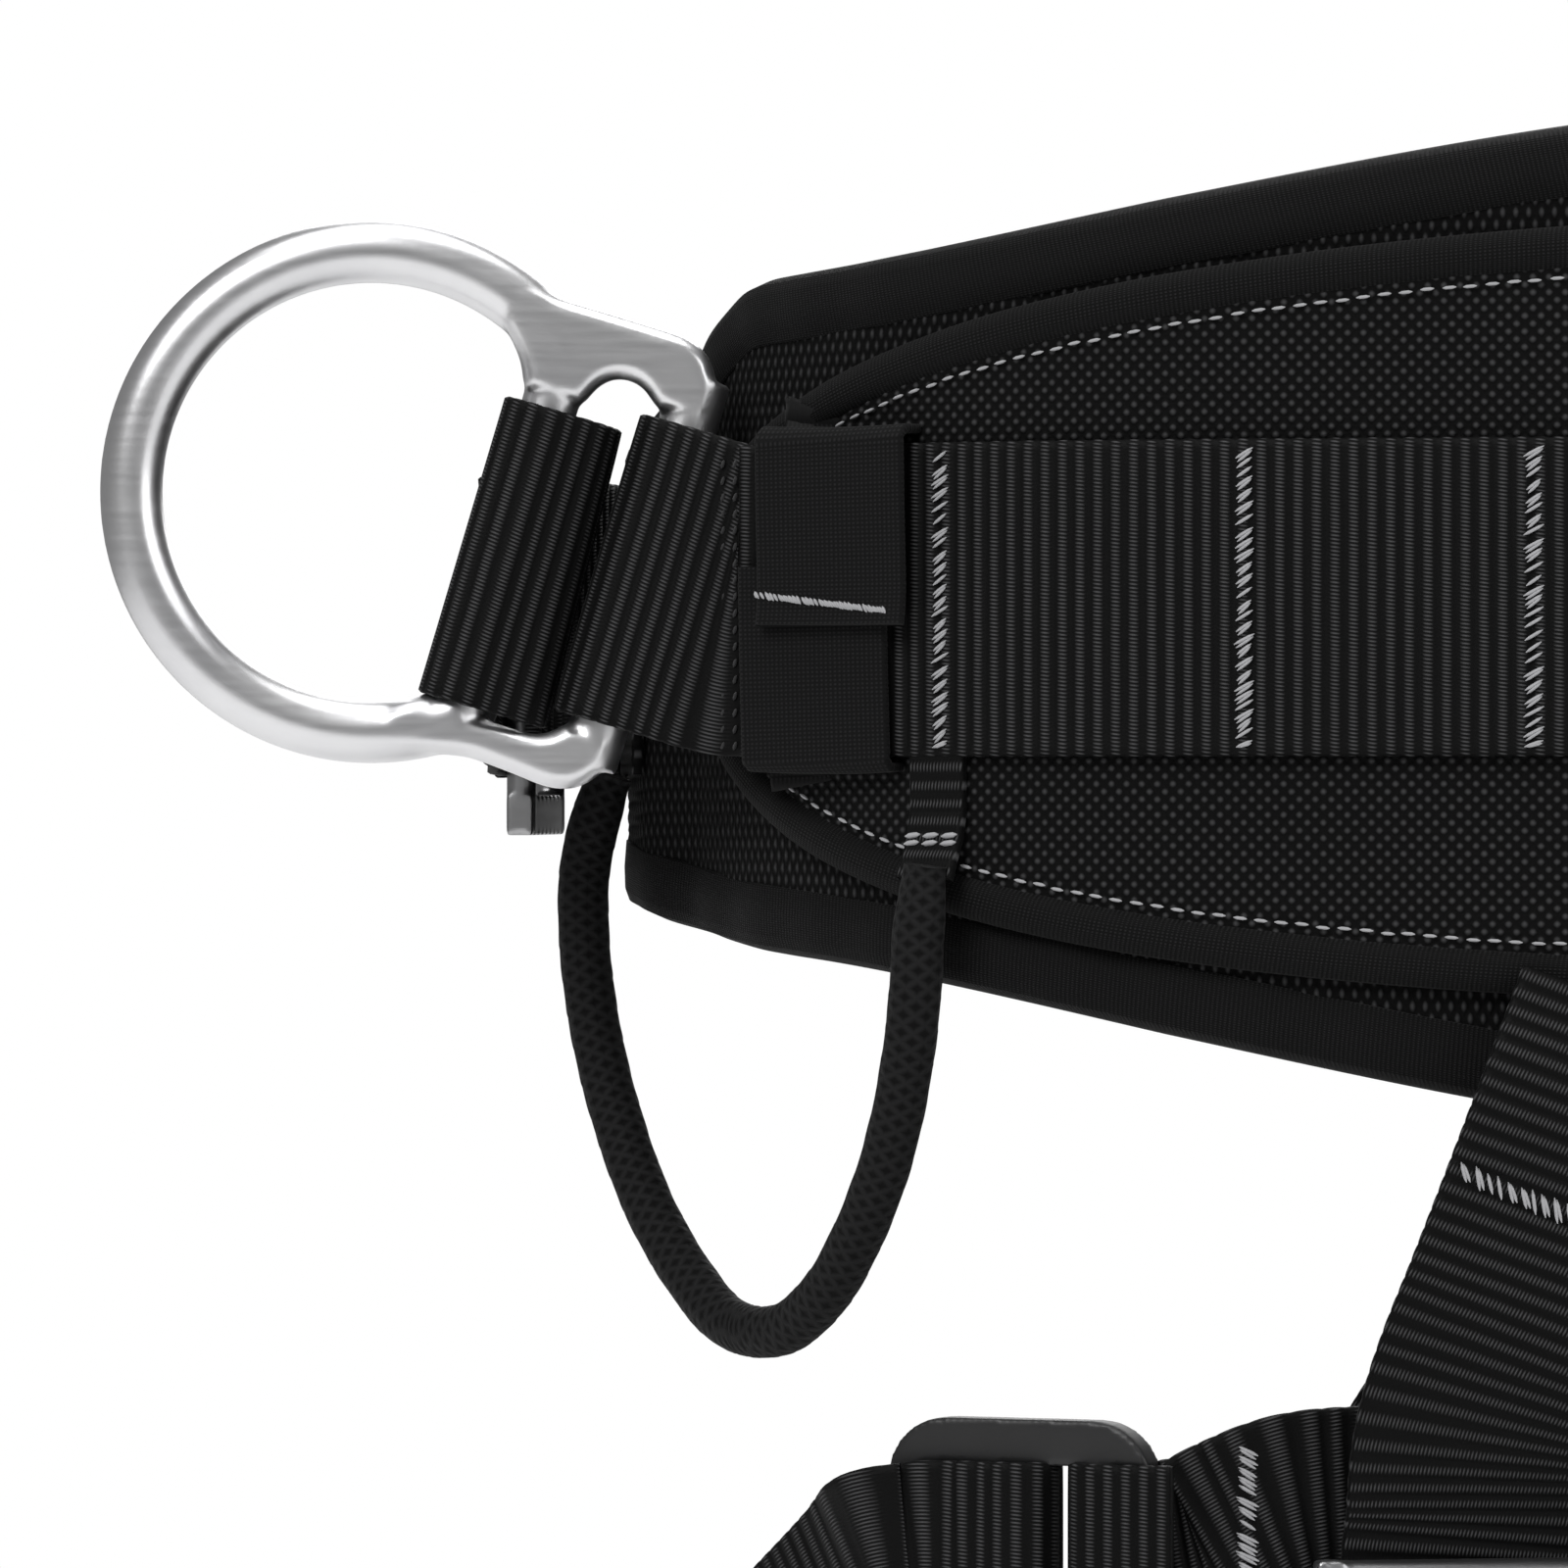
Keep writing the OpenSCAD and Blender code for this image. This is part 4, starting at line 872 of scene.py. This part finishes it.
# Outlines of the ring's two cheeks, in (along the ring's axis, away from its middle)
UPPER_CHEEK = [
    (31, 35.3), (27.7, 35.8), (23.5, 34.7), (14, 34.7), (4.5, 34.6), (1.5, 33.9), (-0.8, 32.2), (-2.2, 29.5),
    (-2.8, 26), (-2.8, 23.2), (4.8, 23.2), (6, 24.2), (7, 25.4), (8.6, 26.2), (10.3, 26.4), (12.2, 26),
    (13.8, 24.8), (14.8, 23), (15.6, 20.5), (24.6, 20.5), (25, 22.4), (26.2, 24.8), (28.3, 27.2), (31, 29.8),
]
LOWER_CHEEK = [
    (31, 35.2), (27.7, 35.5), (24, 34.4), (17, 33.0), (10, 33.5), (4.7, 34.1), (1, 33.3), (-1.7, 30.9), (-2.8, 27.5),
    (-2.9, 24.2), (5, 24.2), (6, 26), (8.5, 27.3), (15.6, 27.2), (24.6, 27.2), (26.2, 27.2), (28.3, 27.9), (31, 29.8),
]


def bevelled_plate(outline, half, bevel, world):
    """A plate with bevelled edges; world(u, v, y) places its points."""
    p, _ = resample_closed(np.asarray(outline, float), 0.8)
    p = smooth_closed(p, 4)
    d = unit(np.roll(p, -1, 0) - np.roll(p, 1, 0))
    area = (p[:, 0] * np.roll(p[:, 1], -1) - np.roll(p[:, 0], -1) * p[:, 1]).sum()
    inner = p + bevel * np.stack([-d[:, 1], d[:, 0]], -1) * math.copysign(1, area)
    verts = [world(u, v, y) for q, y in ((inner, -half), (p, bevel - half), (p, half - bevel), (inner, half)) for u, v in q]
    return raw_mesh(verts, capped(4, len(p)), triangles=True)


def d_ring(side, sign):
    """Forged ring whose round rod flows into two flat cheeks, with a cross bar and a base bar."""
    def world(u, v, y=0.0):
        return mirror(BAR_C + u * RING_U + v * RING_V + [0, y, 0], sign)

    a = np.radians(np.linspace(-128, 128, 120))
    parts = [rod([world(RING_REACH + RING_R * math.cos(t), RING_R * math.sin(t)) for t in a], RING_ROD)]
    parts.append(bevelled_plate(UPPER_CHEEK, 4.5, 1.5, world))
    parts.append(bevelled_plate([(u, -v) for u, v in LOWER_CHEEK], 4.5, 1.5, world))
    parts.append(rod([world(BAR_GAP, v) for v in np.linspace(-29, 29, 30)], CROSS_BAR))
    parts.append(rod([world(0, v) for v in np.linspace(-29.5, 29.5, 30)], BASE_BAR - 0.2))
    hardware(f"{side}_forged_ring", parts, MATS["ring"], f"{side}_d_ring", [f"{side}_d_ring"], voxel=0.5, passes=9)


def metal_parts():
    """Buckles and adjusters: the CAD solids' own meshes, rounded off."""
    rows = []
    for side, _ in SIDES:
        rows += [(f"{side}_adjuster_frame", f"{side}_strap_adjuster", "pressed", "belt", 0.5, 4),
                 (f"{side}_riser_frame", f"{side}_riser_adjuster", "pressed", f"{side}_leg", 0.5, 4),
                 (f"{side}_thigh_buckle", f"{side}_leg_buckle", "plastic", f"{side}_leg", 0.5, 5),
                 (f"{side}_grip_bar", f"{side}_leg_buckle_bar", "dark_bar", f"{side}_buckle_bar", 0.4, 2)]
    rows += [("front_frame", "front_buckle_frame", "pressed", "belt", 0.5, 4),
             ("front_hook", "front_buckle_hook", "pressed", "buckle_hook", 0.5, 4),
             ("ventral_forged_ring", "ventral_ring", "ring", "ventral_ring", 0.6, 4)]
    for name, node, material, body, voxel, passes in rows:
        hardware(name, [frame["nodes"][node].data], MATS[material], body, [node], voxel, passes)


# ---------------- straps at the front
FRONT_LIFT, FRONT_Z, KEEPER_S = 1.4, -4.0, 372.0
BUCKLE_X, BUCKLE_Y, HOOK_X, HOOK_Y, FOLD_R = 14.0, -124.5, 46.0, -129.0, 4.4
ADJ_BAR, ADJ_LOOP = 13.3, 3.7
ADJ_C, ADJ_TURN = np.array([204.2, 20.5, -3.0]), math.radians(-98)
ADJ_U = np.array([math.cos(ADJ_TURN), math.sin(ADJ_TURN), 0])
ADJ_N = np.array([-ADJ_U[1], ADJ_U[0], 0])
VENTRAL_TOP, VENTRAL_LEN = -41.1, 34.0


def adjuster_point(x, y, z=0.0):
    return ADJ_C + x * ADJ_U + y * ADJ_N + [0, 0, z]


def lead(side, sign):
    """Webbing round the D-ring's cross bar, then on to the rear bar of the adjuster: one strap."""
    centre = BAR_C + BAR_GAP * RING_U + STRAP_SHIFT * RING_V
    back = np.array([0, 1.0, 0])
    lean = unit(RING_V + 0.04 * RING_U)
    path = [(centre - y * back - x * RING_U, lean) for x, y in ((9.0, 16), (10.6, 9), (10.8, 2))]
    path += [(centre + 2.4 * back - 8.6 * RING_U, unit(RING_V + 0.05 * RING_U))]
    path += [(centre + 5.5 * (math.sin(a) * back + math.cos(a) * RING_U), RING_V) for a in turn_of(120, 0)]
    path += [(centre - 5.5 * back + 3.6 * RING_U, RING_V), (centre - 11 * back + 1.2 * RING_U, RING_V),
             (np.array([207.6, 44.6, 5.9]), fan(0.95)), (adjuster_point(-ADJ_BAR - 5, ADJ_LOOP - 1, 2.5), fan(0.5))]
    path += [(p, UP) for p in arc(adjuster_point, -ADJ_BAR, 0, ADJ_LOOP, 90, -90)]
    path += [(adjuster_point(-ADJ_BAR - 6, -ADJ_LOOP + 1.1), UP)]
    obj = strap(f"{side}_lead_strap", *zip(*path), None, [f"{side}_d_ring_loop", f"{side}_strap_lead"], sign, seed=3)
    metres([207.8, 57, 6.8], sign)
    metres([206.8, 42, 5.0], sign)
    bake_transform(obj)


def front_strap(side, sign, bar_x, bar_y, last_s, body):
    at_bar = lambda x, y: np.array([bar_x + x, bar_y + y, FRONT_Z])
    path = [adjuster_point(ADJ_BAR + 9, ADJ_LOOP)] + arc(adjuster_point, ADJ_BAR, 0, ADJ_LOOP, 90, 270)
    path += [waist(q, FRONT_LIFT, FRONT_Z) for q in range(300, last_s + 1, 15)] + [at_bar(16, FOLD_R - 0.3)]
    path += arc(at_bar, 0, 0, FOLD_R, 90, 270) + [at_bar(12, -FOLD_R + 1.6), at_bar(24, -FOLD_R + 3.6)]
    strap(f"{side}_front_webbing", path, UP, body, [f"{side}_front_strap"], sign, seed=5, relief=0.3)
    lie = lambda x: -FOLD_R + 1.15 + 0.17 * (x - 12)
    places = [(lambda u, v, x=x: mirror(at_bar(x + v, lie(x)) + [0, 0, 21 - u], sign), 21) for x in (17.5, 20.5)]
    bar_tacks(f"{side}_front_tack", places, 42, body, pitch=1.9, r=0.27)


def band(name, origin, along, out, inner_t, inner_h, w, body, node, sign):
    """Elastic band closed round a strap: out is the direction away from the wearer."""
    y, z, c = inner_t / 2 + 0.7, inner_h / 2 + 0.7, 1.6
    loop = [(y, z * 0.3)]
    for cy, cz, a in ((y - c, -z + c, 0), (-y + c, -z + c, -90), (-y + c, z - c, 180), (y - c + 0.9, z - c, 90)):
        loop += arc(lambda y, z: (y, z), cy, cz, c, a, a - 90, 18)
    loop += [(y + 1.0, z * 0.6), (y + 1.1, 2.0), (y + 1.2, -3.0)]
    strap(name, [origin + p * np.asarray(out) + q * UP for p, q in loop], along, body, [node], sign, w=w, **ELASTIC)


def front_keeper(side, sign, body):
    a = float(heading(KEEPER_S))
    along, out = np.array([math.cos(a), -math.sin(a), 0]), np.array([math.sin(a), math.cos(a), 0])
    origin = waist(KEEPER_S, FRONT_LIFT, FRONT_Z)
    band(f"{side}_front_band", origin, along, out, 4.6, 46, 18, body, f"{side}_front_keeper", sign)


def ventral_strap():
    r, drop = 5.8, VENTRAL_LEN
    at_bar = lambda y, z: np.array([0, BUCKLE_Y + y, VENTRAL_TOP + z])
    path = [at_bar(-r, -drop * 0.2), at_bar(-r, -drop * 0.1)] + arc(at_bar, 0, 0, r, 180, 0, 12)
    path += [at_bar(r * k, -drop * q) for k, q in ((1, 0.25), (0.9, 0.5), (1, 0.75))] + arc(at_bar, 0, -drop, r, 0, -180, 12)
    path += [at_bar(-r * 1.02, -drop * 0.75)] + [at_bar(-r - k, -drop * q) for k, q in ((0.9, 0.5), (1.5, 0.2), (1.3, 0.08))]
    strap("ventral_webbing", path, (1, 0, 0), "belt", ["ventral_loop"], w=18, t=1.9, relief=0.25, seed=7)
    places = [(lambda u, v, z=z: at_bar(-8.1 + 0.05 * abs(z), z + v) + [u - 8, 0, 0], int(-z)) for z in (-6.5, -12.5, -18.5)]
    bar_tacks("ventral_tacks", places, 16, "belt", width=2.2, pitch=1.7, r=0.27)


# ---------------- risers
RISER_TOP = np.array([41, 120.6, -57])
RISER_DIR, RISER_ACROSS = unit([19, 0, -50]), unit([50, 0, 19])
FOOT, FOOT_TURN, FOOT_LOOP, FOOT_GAP = np.array([65.5, 106.5, -152.5]), math.radians(10), 3.7, 14.0
FOOT_ACROSS = np.array([math.cos(FOOT_TURN), math.sin(FOOT_TURN), 0])


def riser_point(q, y, v=0.0):
    p = RISER_TOP + q * RISER_DIR + v * RISER_ACROSS
    return np.array([p[0], y, p[2]])


def foot_point(y, z):
    return FOOT + [-math.sin(FOOT_TURN) * y, math.cos(FOOT_TURN) * y, z]


def riser(side, sign):
    """From under the lumbar panel, over the pad's lower edge, down to the adjuster's middle bar."""
    path = [riser_point(q, y) for q, y in ((3, 118.2), (9.5, 118.7), (15, 119.4), (20, 119.5), (24.5, 119.5),
                                           (36, 119.2), (48, 117.6), (58, 114.6))]
    n = len(path)
    path += [np.array([64.2, 110.4, -120]), np.array([65.3, foot_point(-FOOT_LOOP, 0)[1] + 1.5, -130])]
    path += [foot_point(-FOOT_LOOP, FOOT_GAP)] + arc(foot_point, 0, 0, FOOT_LOOP, 180, 360) + [foot_point(FOOT_LOOP + 0.2, 9)]
    turn = [float(ease((i - n + 1.5) / 3)) for i in range(len(path))]
    across = [unit((1 - u) * RISER_ACROSS + u * FOOT_ACROSS) for u in turn]
    ends = [metres(riser_point(q, 119.5), sign) for q in (15, 30)]
    obj = strap(f"{side}_riser_webbing", path, across, None, [f"{side}_riser_anchor", f"{side}_riser"], sign, seed=2, wave=0.25)
    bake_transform(obj)
    place = lambda u, v: mirror(riser_point(33.2 + v + 0.5 * math.sin(u / 9), 120.75, 21 - u), sign)
    tack = bar_tacks(f"{side}_riser_tack", [(place, 31)], 42, width=3.0, pitch=1.9, r=0.28)
    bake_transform(tack)
    link = [foot_point(-7.4, -FOOT_GAP - 15.5), foot_point(-5.6, -FOOT_GAP - 8)]
    link += arc(foot_point, 0, -FOOT_GAP, FOOT_LOOP, 180, 0)
    link += [foot_point(0.5, -FOOT_GAP - 9), foot_point(-5.2, -FOOT_GAP - 15.5)]
    strap(f"{side}_riser_link_webbing", link, FOOT_ACROSS, f"{side}_leg", [f"{side}_riser_link"], sign, seed=4)


# ---------------- leg loops
LEG_PAD_OUT, LEG_PAD_IN, LEG_FROM, LEG_TO, LEG_END, PER_DEGREE = -2.4, -11.4, 104.0, 302.0, 22.0, 1.7
LEG_WEB_N = -WEB_T / 2 + 0.15
BUCKLE_HEAD = math.atan2(math.cos(math.radians(BUCKLE_PHI)) / LEG_RX, math.sin(math.radians(BUCKLE_PHI)) / LEG_RY)
WEB_DROP = LEG_DROP + 3
END_BAR, GRIP_BAR = -12.1, 1.1
BUCKLE_C = leg_point(BUCKLE_PHI, 0.6, -WEB_DROP - 1)


def buckle_place(x, y):
    return BUCKLE_C + [math.cos(BUCKLE_HEAD) * x + math.sin(BUCKLE_HEAD) * y,
                       -math.sin(BUCKLE_HEAD) * x + math.cos(BUCKLE_HEAD) * y,
                       -float(leg_sink(np.array(BUCKLE_PHI - max(0, x - 11) * 0.8)))]


def in_slot(x, y):
    """The straps lie against the upper side of the buckle's slots."""
    return buckle_place(x, y) + [0, 0, 1.5]


def leg_rise(phi):
    """How far the riser pulls the leg webbing up, next to it and behind it."""
    return 8.5 * ease((np.asarray(phi) - 80) / 16) * (1 - ease((np.asarray(phi) - 104) / 22))


def slope_across(path, phis):
    t = unit(np.gradient(np.asarray(path, float), axis=0))
    a = np.radians(np.asarray(phis, float))
    n = unit(np.stack([np.cos(a) / LEG_RX, np.sin(a) / LEG_RY, 0 * a], -1))
    c = unit(np.cross(n, t))
    c = np.where(c[:, 2:3] < 0, -c, c)
    # Round the buckle's bars the strap runs straight in and out, so it stays upright there
    return np.where((np.asarray(phis) == BUCKLE_PHI)[:, None], UP, c)


def leg_loop(side, sign):
    body = f"{side}_leg"
    place = lambda a, n, z: mirror(leg_point(a, n, z - LEG_DROP), sign)
    mid, reach = (LEG_FROM + LEG_TO) / 2, (LEG_TO - LEG_FROM) / 2
    rows = mid + end_spaced(reach - 1, LEG_END, 0.62, 22)
    half = leg_half_h(mid + (rows - mid) * reach / (reach - 1))
    rings, lay = pad_surface(rows, (-half, half), place, LEG_PAD_OUT, LEG_PAD_IN, 2.0, 96, spacer_relief, 0.4, PER_DEGREE)
    pad = tube_mesh(f"{side}_leg_padding", rings, MATS["spacer"], lay, body=body, replaces=[f"{side}_leg_pad"])
    rows = mid + end_spaced(reach, LEG_END, 1.2, 22)
    half = leg_half_h(rows)
    edge_tape(f"{side}_leg_edge_tape", clockwise_outline(rows, -half, half), place, LEG_PAD_OUT, LEG_PAD_IN, 8.5, body,
              f"{side}_leg_pad_binding", PER_DEGREE)

    phis = list(range(85, 294, 4))
    turn = [in_slot(-24, 2.6), in_slot(END_BAR - 1.2, 3.9)] + arc(in_slot, END_BAR, 0, 3.9, 90, -90)
    turn += [in_slot(END_BAR - 5, -3.4)]
    path = turn + [leg_point(a, LEG_WEB_N, -WEB_DROP + leg_rise(a)) for a in phis]
    across = slope_across(path, [BUCKLE_PHI] * len(turn) + phis)
    strap(f"{side}_leg_webbing_strap", path, across, body, [f"{side}_leg_webbing"], sign, seed=6)
    places = [(lambda u, v, a=a: mirror(leg_point(a + v / PER_DEGREE, 0.4, -WEB_DROP + leg_rise(a) + 21.3 - u), sign), int(a))
              for a in (88.0, 150.0, 212.0, 274.0)]
    bar_tacks(f"{side}_leg_tacks", places, 42.6, body, width=3.2, pitch=1.6, r=0.28)

    lead_a, tail_a, straight = list(range(298, 409, 5)), list(range(46, 15, -6)), (2, 4, 8, 14, 21)
    path = [leg_point(a, LEG_WEB_N, -WEB_DROP) for a in lead_a] + [in_slot(x, -4.75) for x in straight[::-1]]
    path += arc(in_slot, GRIP_BAR - 0.8, 0, 4.7, 270, 90) + [in_slot(x, 4.7 + 0.015 * x) for x in straight]
    path += [leg_point(a, 2 * WEB_T + 0.3, -WEB_DROP) for a in tail_a]
    across = slope_across(path, lead_a + [BUCKLE_PHI] * (len(path) - len(lead_a) - len(tail_a)) + tail_a)
    obj = strap(f"{side}_thigh_strap", path, across, None, [f"{side}_leg_strap"], sign, seed=8)
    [metres(buckle_place(x, 0), sign) for x in (18, 7)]
    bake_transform(obj)

    a = math.radians(6)
    out = unit([math.cos(a) / LEG_RX, math.sin(a) / LEG_RY, 0])
    along = np.array([-out[1], out[0], 0])
    band(f"{side}_leg_band", leg_point(6.0, LEG_WEB_N, -WEB_DROP), along, out, 3.4, 46, 18, body, f"{side}_leg_keeper", sign)


def front_link(side, sign):
    """From round the buckle frame's lower bar down to the front of the leg loop."""
    at_bar = lambda y, z: np.array([30.0, BUCKLE_Y + y, VENTRAL_TOP + z])
    path = [at_bar(-1.5, -13.5)] + arc(at_bar, 0, 0, 4.1, 210, -30) + [at_bar(1.5, -13.0)]
    n = len(path)
    path += [at_bar(0.3, -18.2) + [0.8, 0, 0], at_bar(2, -31) + [5.5, 0, 0]]
    path += [np.array(p) for p in ((45, -118, -93), (58, -114.8, -117), (71, -113, -139))]
    path += [leg_point(a, 2.3, -LEG_DROP + z) for a, z in ((255, 14), (262, 2), (269, -10))]
    across = [(1, -0.16 * float(ease((i - n - 2) / 3)), 0.4 * float(ease((i - n - 1) / 3))) for i in range(len(path))]
    obj = strap(f"{side}_front_link_webbing", path, across, None, [f"{side}_link_loop", f"{side}_front_link"], sign,
                w=18, t=1.9, relief=0.25, seed=9)
    metres([30, BUCKLE_Y, -52], sign)
    metres([31, BUCKLE_Y, -64], sign)
    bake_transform(obj)
    first, last = leg_point(255, 3.55, -LEG_DROP + 14), leg_point(267, 3.55, -LEG_DROP - 8)
    t = unit(last - first)
    aside = unit(np.array([1, -0.16, 0.4]) - np.dot([1, -0.16, 0.4], t) * t)
    places = [(lambda u, v, q=q: mirror(first * (1 - q) + last * q + (u - 8) * aside + v * t, sign), seed)
              for q, seed in ((0.25, 3), (0.75, 4))]
    bar_tacks(f"{side}_link_tacks", places, 16, f"{side}_leg", width=2.4, pitch=1.7, r=0.27)


studio()
for side, sign in SIDES:
    gear_loop(side, sign)
waist_pad()
lumbar_panel()
waist_belt()
for side, sign in SIDES:
    keeper(side, sign)
    gear_tabs(side, sign)
    d_ring(side, sign)
    lead(side, sign)
    riser(side, sign)
    leg_loop(side, sign)
    front_link(side, sign)
metal_parts()
front_strap("left", 1, BUCKLE_X, BUCKLE_Y, 420, "belt")
front_strap("right", -1, HOOK_X, HOOK_Y, 390, "right_strap")
for (side, sign), body in zip(SIDES, ("belt", "right_strap")):
    front_keeper(side, sign, body)
ventral_strap()
